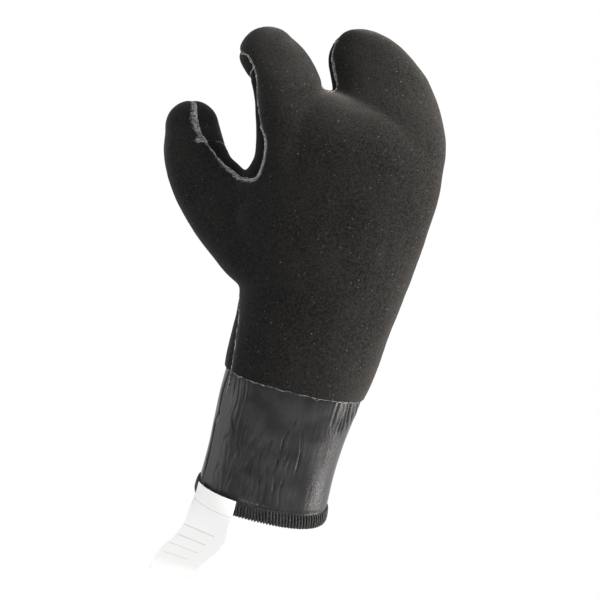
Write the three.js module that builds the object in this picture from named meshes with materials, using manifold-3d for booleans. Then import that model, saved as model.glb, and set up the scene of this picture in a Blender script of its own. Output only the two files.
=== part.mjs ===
// Three-finger diving mitt for the right hand, lying palm down: a thumb, a separate index finger and
// one pocket for the other three fingers, glued from foam rubber panels, with a thin smooth wrist cuff.
//
// The mitt is drawn flat, as its pattern is: x runs across the hand with the thumb at -x, y runs from
// the cuff's hem at 0 towards the fingertips, and z is the height over the middle of the hand's
// thickness. The last step bends this flat mitt over the curve of a resting hand, and stands it on z = 0.
// Sizes are in millimetres.
import * as THREE from "three";
import { mergeVertices } from "three/addons/utils/BufferGeometryUtils.js";
import Module from "manifold-3d";

const wasm = await Module();
wasm.setup();

const HAND_WALL = 5; // foam rubber of the hand, cloth faced
const CUFF_WALL = 3; // smooth skinned rubber of the cuff
const SEAM_GAP = 0.3; // left between glued panels
const CUFF_TOP = 88; // end of the cuff inside the hand
const PANEL_EDGE = 75; // lower edge of the hand's panels, which lap over the cuff
const THREAD = 0.8; // thickness of the overlock stitches round the hem
const HEM_HEIGHT = 6.2; // how far the stitches reach up the cuff
const HEM_DROP = 1.4; // and how far below its cut edge
const LABEL_THICK = 1;
const ROUNDNESS = 2.25; // exponent of the cross-sections: 2 is an ellipse, more is squarer
const CAP_STEPS = 3; // rings that round off a fingertip
const ORIGIN = { x: -27, y: 110.6 }; // middle of the lying mitt's footprint, in the pattern's own frame

// Cross-sections in planes of constant y. deep is half the thickness, lift moves the middle up,
// and roll turns the section about its right-hand edge, in degrees, which lowers its left side.
const CUFF = [
  { y: -2, left: -39.6, right: 37.6, deep: 26.6, lift: 0, roll: 0 },
  { y: 8, left: -39.2, right: 37.2, deep: 26.2, lift: 0, roll: 0 },
  { y: 26, left: -38.8, right: 36.8, deep: 26, lift: 0, roll: 0 },
  { y: 44, left: -39.4, right: 37.6, deep: 26.4, lift: 0, roll: 0 },
  { y: 60, left: -39.8, right: 39.4, deep: 26.8, lift: 0, roll: 0 },
  { y: 72, left: -39.4, right: 40.4, deep: 27, lift: 0, roll: 0 },
  { y: 90, left: -39, right: 40.6, deep: 27, lift: 0, roll: 0 },
];
const PALM = [
  { y: 72, left: -40.6, right: 42, deep: 29.4, lift: 0, roll: 0 },
  { y: 82, left: -41.4, right: 44.2, deep: 30.6, lift: 0, roll: 0 },
  { y: 94, left: -41.6, right: 45.6, deep: 31, lift: 0, roll: 0 },
  { y: 110, left: -41.6, right: 46.8, deep: 30, lift: 0, roll: 0 },
  { y: 130, left: -45, right: 49, deep: 28.6, lift: 0, roll: 0 },
  { y: 155, left: -56, right: 51.8, deep: 27, lift: 0, roll: 0 },
  { y: 178, left: -53, right: 53.4, deep: 25.6, lift: 0, roll: 0 },
  { y: 200, left: -49, right: 54.2, deep: 24.8, lift: 0, roll: 0 },
  { y: 214, left: -50, right: 52, deep: 23.6, lift: 0, roll: 0 },
  { y: 226, left: -50, right: 45, deep: 21, lift: 0, roll: 0 },
  { y: 234, left: -46, right: 36, deep: 16.6, lift: 0.5, roll: 0 },
  { y: 239, left: -40, right: 22, deep: 10.6, lift: 1, roll: 0 },
  { y: 241.5, left: -24, right: 2, deep: 3, lift: 1, roll: 0 },
];
const POCKET = [
  { y: 196, left: -26, right: 53.2, deep: 22, lift: 0, roll: 3 },
  { y: 214, left: -22, right: 53.4, deep: 21.4, lift: 0, roll: 5 },
  { y: 230, left: -19, right: 51, deep: 20.6, lift: 0, roll: 7 },
  { y: 243, left: -19, right: 46, deep: 19.6, lift: 0, roll: 8 },
  { y: 250, left: -21.6, right: 42.6, deep: 18.6, lift: 0, roll: 7.6 },
  { y: 257, left: -24.6, right: 38.2, deep: 17.4, lift: 0, roll: 6.4 },
  { y: 264, left: -26.2, right: 33, deep: 15.8, lift: 0, roll: 5 },
  { y: 271, left: -25, right: 25, deep: 13.4, lift: 0, roll: 3 },
  { y: 277, left: -21.6, right: 16, deep: 10.4, lift: 0, roll: 1 },
  { y: 281, left: -17, right: 8, deep: 7, lift: 0, roll: 0 },
  { y: 283.6, left: -9, right: -2, deep: 2, lift: 0, roll: 0 },
];
// Cross-sections square to a finger's own line, whose middle passes through x, y.
const INDEX = [
  { x: -29, y: 188, wide: 21.6, deep: 21, lift: 0 },
  { x: -34.6, y: 213, wide: 20.6, deep: 20, lift: 0 },
  { x: -42.2, y: 234.4, wide: 20, deep: 18.6, lift: -0.6 },
  { x: -51.2, y: 247.8, wide: 18.6, deep: 17, lift: -2.6 },
  { x: -60, y: 255, wide: 17, deep: 15.6, lift: -5.6 },
];
const THUMB = [
  { x: -26, y: 136, wide: 20, deep: 22, lift: 0 },
  { x: -40, y: 141.6, wide: 20, deep: 21, lift: -2.5 },
  { x: -55, y: 150.8, wide: 18.6, deep: 20, lift: -8 },
  { x: -72.2, y: 167.6, wide: 19.6, deep: 18.6, lift: -16 },
  { x: -86.1, y: 186.5, wide: 18.8, deep: 17, lift: -24 },
  { x: -93, y: 203, wide: 16, deep: 15, lift: -31.6 },
];
// The web that joins the thumb to the index finger, as a bent tube inside the crotch.
const WEB = [
  { x: -76.5, y: 180, wide: 15, deep: 15, lift: -18 },
  { x: -69.7, y: 175.3, wide: 15.6, deep: 16, lift: -15 },
  { x: -56.5, y: 169.5, wide: 16, deep: 17.6, lift: -8.5 },
  { x: -43.5, y: 174.5, wide: 16, deep: 18.6, lift: -3 },
  { x: -37, y: 188, wide: 16, deep: 19, lift: 0 },
  { x: -36, y: 200, wide: 15.6, deep: 19, lift: 0 },
];

// The curve of the resting hand: height of the middle of its thickness, and how far the sections
// lean back there, as run over rise.
const ARCH = [
  { y: -10, height: 26.4, lean: 0.18 },
  { y: 0, height: 27, lean: 0.18 },
  { y: 36, height: 29.4, lean: 0.15 },
  { y: 72, height: 33.2, lean: 0.11 },
  { y: 110, height: 37.6, lean: 0.04 },
  { y: 150, height: 43, lean: 0 },
  { y: 190, height: 47, lean: 0 },
  { y: 215, height: 44.4, lean: 0 },
  { y: 235, height: 34.6, lean: 0 },
  { y: 255, height: 20.6, lean: 0 },
  { y: 270, height: 12.8, lean: 0 },
  { y: 290, height: 8, lean: 0 },
];

// A smooth value from a table's column, at a place along its key column.
function along(rows, key, at, column) {
  const last = rows.length - 1;
  let i = 0;
  while (i < last - 1 && at > rows[i + 1][key]) i += 1;
  const [a, b] = [rows[i], rows[i + 1]];
  const span = b[key] - a[key];
  const slope = (p, q) => (q[column] - p[column]) / (q[key] - p[key]);
  const before = i > 0 ? slope(rows[i - 1], b) : slope(a, b);
  const after = i < last - 1 ? slope(a, rows[i + 2]) : slope(a, b);
  const t = THREE.MathUtils.clamp((at - a[key]) / span, 0, 1);
  const [t2, t3] = [t * t, t * t * t];
  return (
    (2 * t3 - 3 * t2 + 1) * a[column] +
    (t3 - 2 * t2 + t) * span * before +
    (3 * t2 - 2 * t3) * b[column] +
    (t3 - t2) * span * after
  );
}

// A form is a function of a place along it that gives one cross-section there: its middle, the two
// directions of its half-widths, and those half-widths.
const TIP_ZONE = 40; // length over which a wall's thickness is taken off a closed end as well
function straightForm(rows, closed) {
  const tip = rows.at(-1).y;
  const section = (y, inset = 0) => {
    const value = (column) => along(rows, "y", y, column);
    const roll = THREE.MathUtils.degToRad(value("roll"));
    const [left, right] = [value("left"), value("right")];
    const wide = (right - left) / 2;
    const across = new THREE.Vector3(Math.cos(roll), 0, Math.sin(roll));
    const up = new THREE.Vector3(-Math.sin(roll), 0, Math.cos(roll));
    const back = closed ? inset * THREE.MathUtils.smoothstep(y, tip - TIP_ZONE, tip) : 0;
    const middle = new THREE.Vector3(right, y - back, value("lift")).addScaledVector(across, -wide);
    return { middle, across, up, wide: wide - inset, deep: value("deep") - inset };
  };
  return { section, end: tip, heart: (y) => Math.min(y, tip - 15) };
}

function fingerForm(rows) {
  const line = new THREE.CatmullRomCurve3(
    rows.map((row) => new THREE.Vector3(row.x, row.y, row.lift)),
    false,
    "centripetal",
  );
  const last = rows.length - 1;
  const numbered = rows.map((row, step) => ({ ...row, step }));
  // place counts the table's rows from 0, and runs one further round the fingertip
  const section = (place, inset = 0) => {
    const step = Math.min(place, last);
    const turn = (Math.max(place - last, 0) * Math.PI) / 2;
    const ahead = line.getTangent(step / last);
    const flat = new THREE.Vector3(ahead.x, ahead.y, 0).normalize();
    const across = new THREE.Vector3(flat.y, -flat.x, 0);
    const wide = along(numbered, "step", step, "wide") - inset;
    const deep = along(numbered, "step", step, "deep") - inset;
    const middle = line.getPoint(step / last).addScaledVector(flat, wide * Math.sin(turn));
    const share = Math.max(Math.cos(turn), 0.02);
    return { middle, across, up: new THREE.Vector3(0, 0, 1), wide: wide * share, deep: deep * share };
  };
  return { section, end: last + 1, heart: (place) => Math.min(place, last) };
}

// A point on a form's surface. The angle is in degrees: 0 at the little finger's side, 90 on the back
// of the hand, 180 at the thumb's side and 270 in the palm.
function surfacePoint({ middle, across, up, wide, deep }, angle) {
  const turn = THREE.MathUtils.degToRad(angle);
  const rounded = (value) => Math.sign(value) * Math.abs(value) ** (2 / ROUNDNESS);
  return middle
    .clone()
    .addScaledVector(across, wide * rounded(Math.cos(turn)))
    .addScaledVector(up, deep * rounded(Math.sin(turn)));
}

// A closed surface through rings of points. Open rows of rings get a flat cap at each end, and a
// looped row joins its last ring to its first.
function skin(rings, looped = false) {
  const sides = rings[0].length;
  const points = rings.flat();
  const faces = [];
  const bands = looped ? rings.length : rings.length - 1;
  for (let i = 0; i < bands; i += 1) {
    const next = (i + 1) % rings.length;
    for (let j = 0; j < sides; j += 1) {
      const k = (j + 1) % sides;
      const [a, b] = [i * sides + j, i * sides + k];
      const [c, d] = [next * sides + k, next * sides + j];
      faces.push(a, b, c, a, c, d);
    }
  }
  if (!looped) {
    for (const [first, flip] of [
      [0, true],
      [(rings.length - 1) * sides, false],
    ]) {
      for (let j = 1; j < sides - 1; j += 1) {
        const [b, c] = flip ? [first + j + 1, first + j] : [first + j, first + j + 1];
        faces.push(first, b, c);
      }
    }
  }
  const geometry = new THREE.BufferGeometry();
  geometry.setAttribute("position", new THREE.Float32BufferAttribute(points.flatMap((p) => p.toArray()), 3));
  geometry.setIndex(faces);
  return geometry;
}

function ringOf(section, sides) {
  return Array.from({ length: sides }, (_, j) => surfacePoint(section, (360 * j) / sides)).reverse();
}

function solidOf(geometry) {
  const merged = mergeVertices(geometry, 1e-4);
  const mesh = new wasm.Mesh({
    numProp: 3,
    vertProperties: new Float32Array(merged.attributes.position.array),
    triVerts: new Uint32Array(merged.index.array),
  });
  return new wasm.Manifold(mesh);
}

// The solid of a form between two places, taken in by inset.
function body(form, places, sides, inset = 0) {
  const sections = places.map((place) => form.section(place, inset));
  const rings = sections.filter((s) => s.wide > 1 && s.deep > 0.5).map((s) => ringOf(s, sides));
  return solidOf(skin(rings));
}

function steps(from, to, count) {
  return Array.from({ length: count + 1 }, (_, i) => from + ((to - from) * i) / count);
}

const palm = straightForm(PALM, true);
const pocket = straightForm(POCKET, true);
const index = fingerForm(INDEX);
const thumb = fingerForm(THUMB);
const web = fingerForm(WEB);
const wrist = straightForm(CUFF, false);

const tipPlaces = (form) => steps(form.end - 1, form.end, CAP_STEPS).slice(1);
const fingerPlaces = (form) => [...steps(0, form.end - 1, 8), ...tipPlaces(form)];
const palmPlaces = [...steps(PANEL_EDGE, 219, 9), 228, 234, 238, 240.4, 241.5];
const pocketPlaces = [...steps(196, 268, 6), 273, 277.5, 281, 283.6];

function handBody(inset, sides) {
  const lobes = [
    body(palm, palmPlaces, sides + 6, inset),
    body(pocket, pocketPlaces, sides + 6, inset),
    body(index, fingerPlaces(index), sides, inset),
    body(thumb, fingerPlaces(thumb), sides, inset),
    body(web, steps(0, WEB.length - 1, 8), sides, inset),
  ];
  return wasm.Manifold.union(lobes);
}

// The hollow is the hand's form less its wall, opened at the wrist wide enough for the cuff.
function handHollow() {
  const mouth = body(wrist, steps(PANEL_EDGE - 4, CUFF_TOP + SEAM_GAP, 3), 36, -SEAM_GAP);
  return handBody(HAND_WALL, 16).add(mouth);
}

// Seams between the hand's panels. Each row names a form, a place on it and an angle round it.
// Places on the palm, the pocket and the wrist are their y.
const BACK_SEAM = [
  [palm, 70, 151],
  [palm, 84, 153],
  [palm, 97, 157],
  [palm, 108, 167],
  [palm, 118, 186],
  [thumb, 1.3, 212],
  [thumb, 2, 212],
  [thumb, 3, 208],
  [thumb, 4, 205],
  [thumb, 4.8, 205],
  [thumb, 5.4, 210],
  [thumb, 5.86, 225],
  [thumb, 5.86, 40],
  [thumb, 5.5, 66],
  [thumb, 5.14, 74],
  [thumb, 4.76, 72],
  [thumb, 4.5, 66],
  [thumb, 3.94, 53],
  [web, 0.75, 131],
  [web, 1.3, 134],
  [web, 2.14, 135],
  [web, 3.3, 123],
  [web, 3.71, 125],
  [index, 0.75, 138],
  [index, 1.09, 150],
  [index, 1.78, 159],
  [index, 2.94, 145],
  [index, 3.6, 138],
  [index, 4.16, 133],
  [index, 4.36, 160],
  [index, 4.5, 200],
  [index, 4.5, 270],
  [index, 4.36, 325],
  [index, 3.9, 345],
  [index, 3.2, 351],
  [index, 2.6, 352],
  [index, 2.15, 356],
  [palm, 240.6, 124],
  [pocket, 246, 152],
  [pocket, 250, 155],
  [pocket, 256, 156],
  [pocket, 263, 159],
  [pocket, 268, 160],
  [pocket, 273, 168],
  [pocket, 277.5, 190],
  [pocket, 279, 230],
  [pocket, 277.5, 285],
  [pocket, 272, 305],
  [pocket, 262, 316],
  [pocket, 248, 322],
  [pocket, 230, 326],
  [pocket, 214, 326],
  [palm, 190, 324],
  [palm, 160, 321],
  [palm, 130, 320],
  [palm, 100, 320],
  [palm, 84, 322],
  [palm, 70, 323],
];
// The far edge of the strip in the crotch between the thumb and the index finger.
const THUMB_GUSSET_SEAM = [
  [thumb, 4.48, 78],
  [thumb, 4.44, 58],
  [thumb, 4.36, 30],
  [thumb, 4.1, -2],
  [thumb, 3.8, -20],
  [thumb, 3.4, -32],
  [web, 1.3, 228],
  [web, 2.2, 230],
  [web, 3.2, 235],
  [web, 3.8, 230],
  [index, 0.7, 222],
  [index, 1.1, 215],
  [index, 1.8, 210],
  [index, 2.6, 204],
  [index, 3.2, 190],
  [index, 3.6, 165],
  [index, 3.78, 130],
];
// The far edge of the strip between the index finger and the pocket.
const FINGER_GUSSET_SEAM = [
  [index, 3.8, 354],
  [index, 3.7, 342],
  [index, 3.3, 328],
  [index, 2.8, 322],
  [index, 2.3, 318],
  [palm, 240.6, 248],
  [pocket, 246, 218],
  [pocket, 250, 210],
  [pocket, 256, 204],
  [pocket, 263, 198],
  [pocket, 268, 184],
  [pocket, 271, 170],
  [pocket, 272.5, 156],
];

// Thin blades along a seam, that point at the heart of the form under them.
const BLADE_OUT = 4;
const BLADE_IN = 16;
function seamBlades(rows, count) {
  const spots = rows.map(([form, place, angle]) => {
    const point = surfacePoint(form.section(place), angle);
    const inward = form.section(form.heart(place)).middle.sub(point).normalize();
    return [
      point.clone().addScaledVector(inward, -BLADE_OUT),
      point.clone().addScaledVector(inward, BLADE_IN),
    ];
  });
  const edges = [0, 1].map((i) => new THREE.CatmullRomCurve3(spots.map((spot) => spot[i]), false, "centripetal"));
  const before = new THREE.Vector3();
  const rungs = steps(0, 1, count).map((t) => {
    const [outer, inner] = edges.map((edge) => edge.getPoint(t));
    const ahead = edges[0].getTangent(t).add(edges[1].getTangent(t));
    const side = new THREE.Vector3().crossVectors(ahead, inner.clone().sub(outer)).setLength(SEAM_GAP / 2);
    if (side.dot(before) < 0) side.negate();
    before.copy(side);
    return { outer: [outer, side], inner: [inner, side] };
  });
  const wedge = (corners) => {
    const rings = [-1, 1].map((way) => corners.map(([point, side]) => point.clone().addScaledVector(side, way)));
    const solid = solidOf(skin(rings));
    return solid.volume() > 0 ? solid : solidOf(skin(rings.reverse()));
  };
  return rungs.slice(1).flatMap((rung, i) => [
    wedge([rungs[i].outer, rungs[i].inner, rung.outer]),
    wedge([rungs[i].inner, rung.inner, rung.outer]),
  ]);
}

// The cuff is one tube of rubber.
const cuffPlaces = steps(0, CUFF_TOP, 5);
const tube = (places, out, walls) =>
  body(wrist, places, 36, -out).subtract(body(wrist, [places[0] - 1, ...places, places.at(-1) + 1], 36, walls + out));
const cuff = tube(cuffPlaces, 0, CUFF_WALL);

// The stitches fold round the cuff's lower edge as a channel.
const fold = SEAM_GAP + THREAD;
const hem = tube([-HEM_DROP, HEM_HEIGHT], fold, CUFF_WALL).subtract(
  tube([THREAD - HEM_DROP, HEM_HEIGHT + 2], SEAM_GAP, CUFF_WALL),
);

// The hand's panels are what is left of its shell between the seams, from the largest to the smallest.
const shell = handBody(0, 22).subtract(handHollow());
const blades = [
  ...seamBlades(BACK_SEAM, 104),
  ...seamBlades(THUMB_GUSSET_SEAM, 36),
  ...seamBlades(FINGER_GUSSET_SEAM, 26),
];
const panels = shell.subtract(wasm.Manifold.union(blades)).decompose();
panels.sort((a, b) => b.volume() - a.volume());
const [backPanel, palmPanel, thumbGusset, fingerGusset] = panels;

// Bends the flat mitt over the resting hand and flattens it where it meets the surface it lies on.
function bent(point) {
  const height = along(ARCH, "y", point.y, "height");
  const lean = along(ARCH, "y", point.y, "lean");
  return point.set(point.x, point.y - lean * point.z, Math.max(height + point.z, 0));
}

// The label: its top follows the hem's stitches between two angles, and the rest hangs free as a
// strip through the middles in the table, with its width turned and tilted by degrees.
const LABEL_WIDTH = 27;
const LABEL_ANGLES = [146, 101];
const LABEL_TOP = 5;
const LABEL = [
  { x: -26.6, y: -12.5, z: 45.4, turn: -7, tilt: 24 },
  { x: -30.8, y: -23, z: 39.6, turn: -8, tilt: 18 },
  { x: -34.4, y: -34, z: 29.6, turn: -6, tilt: 12 },
  { x: -37.6, y: -44, z: 17.6, turn: -3, tilt: 6 },
  { x: -40.2, y: -53, z: 7, turn: -1, tilt: 2 },
  { x: -42, y: -62, z: 1.6, turn: 0, tilt: 0 },
];
const LABEL_COLUMNS = 4;
function labelSheet(out) {
  const onHem = (y) =>
    steps(LABEL_ANGLES[0], LABEL_ANGLES[1], LABEL_COLUMNS).map((angle) =>
      bent(surfacePoint(wrist.section(y, -(fold + SEAM_GAP + out)), angle)),
    );
  const hanging = ({ x, y, z, turn, tilt }, i) => {
    const [a, b] = [turn, tilt].map(THREE.MathUtils.degToRad);
    const width = new THREE.Vector3(Math.cos(a) * Math.cos(b), Math.sin(a) * Math.cos(b), Math.sin(b));
    const next = LABEL[Math.min(i + 1, LABEL.length - 1)];
    const last = LABEL[Math.max(i - 1, 0)];
    const down = new THREE.Vector3(next.x - last.x, next.y - last.y, next.z - last.z);
    const outward = new THREE.Vector3().crossVectors(down, width).setLength(out);
    return steps(-0.5, 0.5, LABEL_COLUMNS).map((share) =>
      new THREE.Vector3(x, y, z).addScaledVector(width, share * LABEL_WIDTH).add(outward),
    );
  };
  return [onHem(LABEL_TOP), onHem(-HEM_DROP), ...LABEL.map(hanging)];
}
const [under, over] = [labelSheet(0), labelSheet(LABEL_THICK)];
const label = solidOf(skin(under.map((row, i) => [...row, ...over[i].toReversed()])));

const group = new THREE.Group();
export default group;

function addPiece(name, solid, color, roughness, shape = bent) {
  const mesh = solid.getMesh();
  const points = [];
  for (let i = 0; i < mesh.vertProperties.length; i += 3) {
    const point = shape(new THREE.Vector3().fromArray(mesh.vertProperties, i));
    points.push(point.x - ORIGIN.x, point.y - ORIGIN.y, point.z);
  }
  const geometry = new THREE.BufferGeometry();
  geometry.setAttribute("position", new THREE.Float32BufferAttribute(points, 3));
  geometry.setIndex(new THREE.BufferAttribute(new Uint32Array(mesh.triVerts), 1));
  const piece = new THREE.Mesh(geometry, new THREE.MeshStandardMaterial({ color, roughness }));
  piece.name = name;
  group.add(piece);
}

addPiece("back_panel", backPanel, 0x26262a, 0.95);
addPiece("palm_panel", palmPanel, 0x1c1c1e, 0.95);
addPiece("thumb_gusset", thumbGusset, 0x18181a, 0.9);
addPiece("finger_gusset", fingerGusset, 0x18181a, 0.9);
addPiece("cuff", cuff, 0x3a3a3c, 0.55);
addPiece("hem_stitching", hem, 0x101012, 0.9);
addPiece("size_label", label, 0xf0f0ee, 0.8, (point) => point);
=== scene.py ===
# Three-finger diving mitt, lying palm down: foam rubber panels faced with fine black knit, glued edge
# to edge, a smooth skinned wrist cuff with an overlocked hem, and a white ribbon label.
#
# The mitt is drawn flat, as its pattern is, in millimetres: x runs across the hand with the thumb at
# -x, y runs from the cuff's hem at 0 to the fingertips, z is the height over the middle of the hand.
# laid() then bends it over the curve of a resting hand, into the CAD frame in metres. Only the free
# part of the label is placed there as it hangs.

import math
from collections import namedtuple

import bmesh
import bpy
from mathutils import Matrix, Vector, noise
from mathutils.bvhtree import BVHTree
from mathutils.kdtree import KDTree


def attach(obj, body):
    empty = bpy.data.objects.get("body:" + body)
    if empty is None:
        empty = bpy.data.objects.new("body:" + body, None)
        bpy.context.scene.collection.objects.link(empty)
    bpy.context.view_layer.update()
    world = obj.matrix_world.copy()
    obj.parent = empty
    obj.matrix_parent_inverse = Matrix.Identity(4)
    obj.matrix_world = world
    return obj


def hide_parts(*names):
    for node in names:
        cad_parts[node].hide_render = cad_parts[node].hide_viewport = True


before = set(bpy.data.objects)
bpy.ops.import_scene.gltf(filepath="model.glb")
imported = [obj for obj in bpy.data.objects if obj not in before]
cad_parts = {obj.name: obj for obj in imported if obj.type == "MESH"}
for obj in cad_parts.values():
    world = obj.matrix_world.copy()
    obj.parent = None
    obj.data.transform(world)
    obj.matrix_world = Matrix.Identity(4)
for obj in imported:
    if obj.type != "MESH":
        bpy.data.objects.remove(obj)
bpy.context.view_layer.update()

MM = 0.001
ORIGIN_X = -27.0  # the frame's origin on the flat pattern
ORIGIN_Y = 110.6
ROUNDNESS = 2.25  # exponent of the cross-sections
HAND_WALL = 5.0
CUFF_WALL = 3.0
CUFF_TOP = 88.0
PANEL_EDGE = 75.0  # foot of the panels on the cuff
SEAM_GAP = 0.3
HEM_HEIGHT = 6.2

VOXEL = 1.2  # grid on which the hand's lobes are joined
ROUNDING = 22  # smoothing steps that round the crotches
LOBE_SIDES = 72
TIP_STEPS = 8  # rings round a fingertip
LEAST_SHARE = 0.02  # of a finger's section, left at its closed end
CURVE_STEPS = 30  # points drawn for each spot of a seam
SEAM_STEP = 1.0
SEAM_RELAXES = 3
NORMAL_REACH = 3  # neighbours on each side that smooth a seam's normals
FINE_STEP = 0.2
BLADE_REACH = 1.6
GROOVE_DEEP = 0.75  # how far the panels dip at a glued seam
GROOVE_WIDE = 1.9


def table(columns, *rows):
    """Rows of values as dictionaries with named columns."""
    return [dict(zip(columns.split(), row)) for row in rows]


# Cross-sections in planes of constant y
CUFF = table(
    "y left right deep lift roll",
    (-2, -39.6, 37.6, 26.6, 0, 0),
    (8, -39.2, 37.2, 26.2, 0, 0),
    (26, -38.8, 36.8, 26, 0, 0),
    (44, -39.4, 37.6, 26.4, 0, 0),
    (60, -39.8, 39.4, 26.8, 0, 0),
    (72, -39.4, 40.4, 27, 0, 0),
    (90, -39, 40.6, 27, 0, 0),
)
PALM = table(
    "y left right deep lift roll",
    (72, -40.6, 42, 29.4, 0, 0),
    (82, -41.4, 44.2, 30.6, 0, 0),
    (94, -41.6, 45.6, 31, 0, 0),
    (110, -41.6, 46.8, 30, 0, 0),
    (130, -45, 49, 28.6, 0, 0),
    (155, -56, 51.8, 27, 0, 0),
    (178, -53, 53.4, 25.6, 0, 0),
    (200, -49, 54.2, 24.8, 0, 0),
    (214, -50, 52, 23.6, 0, 0),
    (226, -50, 45, 21, 0, 0),
    (234, -46, 36, 16.6, 0.5, 0),
    (239, -40, 22, 10.6, 1, 0),
    (241.5, -24, 2, 3, 1, 0),
)
POCKET = table(
    "y left right deep lift roll",
    (196, -26, 53.2, 22, 0, 3),
    (214, -22, 53.4, 21.4, 0, 5),
    (230, -19, 51, 20.6, 0, 7),
    (243, -19, 46, 19.6, 0, 8),
    (250, -21.6, 42.6, 18.6, 0, 7.6),
    (257, -24.6, 38.2, 17.4, 0, 6.4),
    (264, -26.2, 33, 15.8, 0, 5),
    (271, -25, 25, 13.4, 0, 3),
    (277, -21.6, 16, 10.4, 0, 1),
    (281, -17, 8, 7, 0, 0),
    (283.6, -9, -2, 2, 0, 0),
)
# Cross-sections square to a finger's own line
INDEX = table(
    "x y wide deep lift",
    (-29, 188, 21.6, 21, 0),
    (-34.6, 213, 20.6, 20, 0),
    (-42.2, 234.4, 20, 18.6, -0.6),
    (-51.2, 247.8, 18.6, 17, -2.6),
    (-60, 255, 17, 15.6, -5.6),
)
THUMB = table(
    "x y wide deep lift",
    (-26, 136, 20, 22, 0),
    (-40, 141.6, 20, 21, -2.5),
    (-55, 150.8, 18.6, 20, -8),
    (-72.2, 167.6, 19.6, 18.6, -16),
    (-86.1, 186.5, 18.8, 17, -24),
    (-93, 203, 16, 15, -31.6),
)
WEB = table(
    "x y wide deep lift",
    (-76.5, 180, 15, 15, -18),
    (-69.7, 175.3, 15.6, 16, -15),
    (-56.5, 169.5, 16, 17.6, -8.5),
    (-43.5, 174.5, 16, 18.6, -3),
    (-37, 188, 16, 19, 0),
    (-36, 200, 15.6, 19, 0),
)
# Height of the middle of the hand and how far its sections lean back there
ARCH = table(
    "y height lean",
    (-10, 26.4, 0.18),
    (0, 27, 0.18),
    (36, 29.4, 0.15),
    (72, 33.2, 0.11),
    (110, 37.6, 0.04),
    (150, 43, 0),
    (190, 47, 0),
    (215, 44.4, 0),
    (235, 34.6, 0),
    (255, 20.6, 0),
    (270, 12.8, 0),
    (290, 8, 0),
)


def along(rows, key, at, column):
    """A smooth value from a table's column, at a place along its key column."""
    last = len(rows) - 1
    i = 0
    while i < last - 1 and at > rows[i + 1][key]:
        i += 1
    a, b = rows[i], rows[i + 1]
    span = b[key] - a[key]

    def slope(p, q):
        return (q[column] - p[column]) / (q[key] - p[key])

    before = slope(rows[i - 1], b) if i > 0 else slope(a, b)
    after = slope(a, rows[i + 2]) if i < last - 1 else slope(a, b)
    t = min(max((at - a[key]) / span, 0.0), 1.0)
    rise = (3 - 2 * t) * t * t
    return (
        (1 - rise) * a[column]
        + rise * b[column]
        + t * (1 - t) ** 2 * span * before
        - t * t * (1 - t) * span * after
    )


def smoothstep(low, high, at):
    """A smooth share, 0 up to low and 1 from high on."""
    t = min(max((at - low) / (high - low), 0.0), 1.0)
    return t * t * (3 - 2 * t)


def steps(start, end, count):
    """Evenly spaced values from start to end, both among them."""
    return [start + (end - start) * i / count for i in range(count + 1)]


def on_curve(points, t):
    """A point on the centripetal curve through points, t from 0 to 1."""
    last = len(points) - 1
    i = min(int(t * last), last - 1)
    u = t * last - i
    b, c = points[i], points[i + 1]
    a = points[i - 1] if i > 0 else b * 2 - c
    d = points[i + 2] if i + 2 <= last else c * 2 - b
    s0, s1, s2 = (max((q - p).length, 1e-6) ** 0.5 for p, q in ((a, b), (b, c), (c, d)))
    leave = ((b - a) / s0 - (c - a) / (s0 + s1) + (c - b) / s1) * s1
    arrive = ((c - b) / s1 - (d - b) / (s1 + s2) + (d - c) / s2) * s1
    return (
        b
        + leave * u
        + (c * 3 - b * 3 - leave * 2 - arrive) * u * u
        + (b * 2 - c * 2 + leave + arrive) * u**3
    )


def bell(away, wide):
    """A smooth hump: 1 in its middle and nearly nothing two widths away."""
    return math.exp(-((away / wide) ** 2))


def fading(t, blunt):
    """The share of a full depth along a line, nothing at its ends. A low blunt fills it out."""
    return math.sin(math.pi * t) ** blunt


# Forms: each gives one cross-section at a place along it, up to its end
Section = namedtuple("Section", "middle across up wide deep")
Form = namedtuple("Form", "section end")


def straight_form(rows):
    """A form with its sections in planes of constant y. A section can be drawn in by an inset."""

    def section(y, inset=0.0):
        left, right, deep, lift = (along(rows, "y", y, c) for c in ("left", "right", "deep", "lift"))
        roll = math.radians(along(rows, "y", y, "roll"))
        wide = (right - left) / 2
        across = Vector((math.cos(roll), 0, math.sin(roll)))
        up = Vector((-math.sin(roll), 0, math.cos(roll)))
        middle = Vector((right, y, lift)) - across * wide
        return Section(middle, across, up, wide - inset, deep - inset)

    return Form(section, rows[-1]["y"])


def finger_form(rows):
    """A form along a finger's own line. A place is a row's number, and one more step rounds the tip."""
    line = [Vector((row["x"], row["y"], row["lift"])) for row in rows]
    last = len(rows) - 1
    numbered = [dict(row, step=i) for i, row in enumerate(rows)]

    def section(place):
        step = min(place, last)
        turn = max(place - last, 0) * math.pi / 2
        t = step / last
        nudge = 1e-4
        ahead = on_curve(line, min(t + nudge, 1)) - on_curve(line, max(t - nudge, 0))
        flat = Vector((ahead.x, ahead.y, 0)).normalized()
        wide = along(numbered, "step", step, "wide")
        deep = along(numbered, "step", step, "deep")
        share = max(math.cos(turn), LEAST_SHARE)
        middle = on_curve(line, t) + flat * wide * math.sin(turn)
        across = Vector((flat.y, -flat.x, 0))
        return Section(middle, across, Vector((0, 0, 1)), wide * share, deep * share)

    return Form(section, last + 1)


def surface_point(section, angle):
    """A point of a cross-section: 0 at the little finger's side, 90 on the back of the hand."""
    turn = math.radians(angle)
    cosine, sine = math.cos(turn), math.sin(turn)
    power = 2 / ROUNDNESS
    side = math.copysign(abs(cosine) ** power, cosine)
    rise = math.copysign(abs(sine) ** power, sine)
    return section.middle + section.across * section.wide * side + section.up * section.deep * rise


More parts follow.
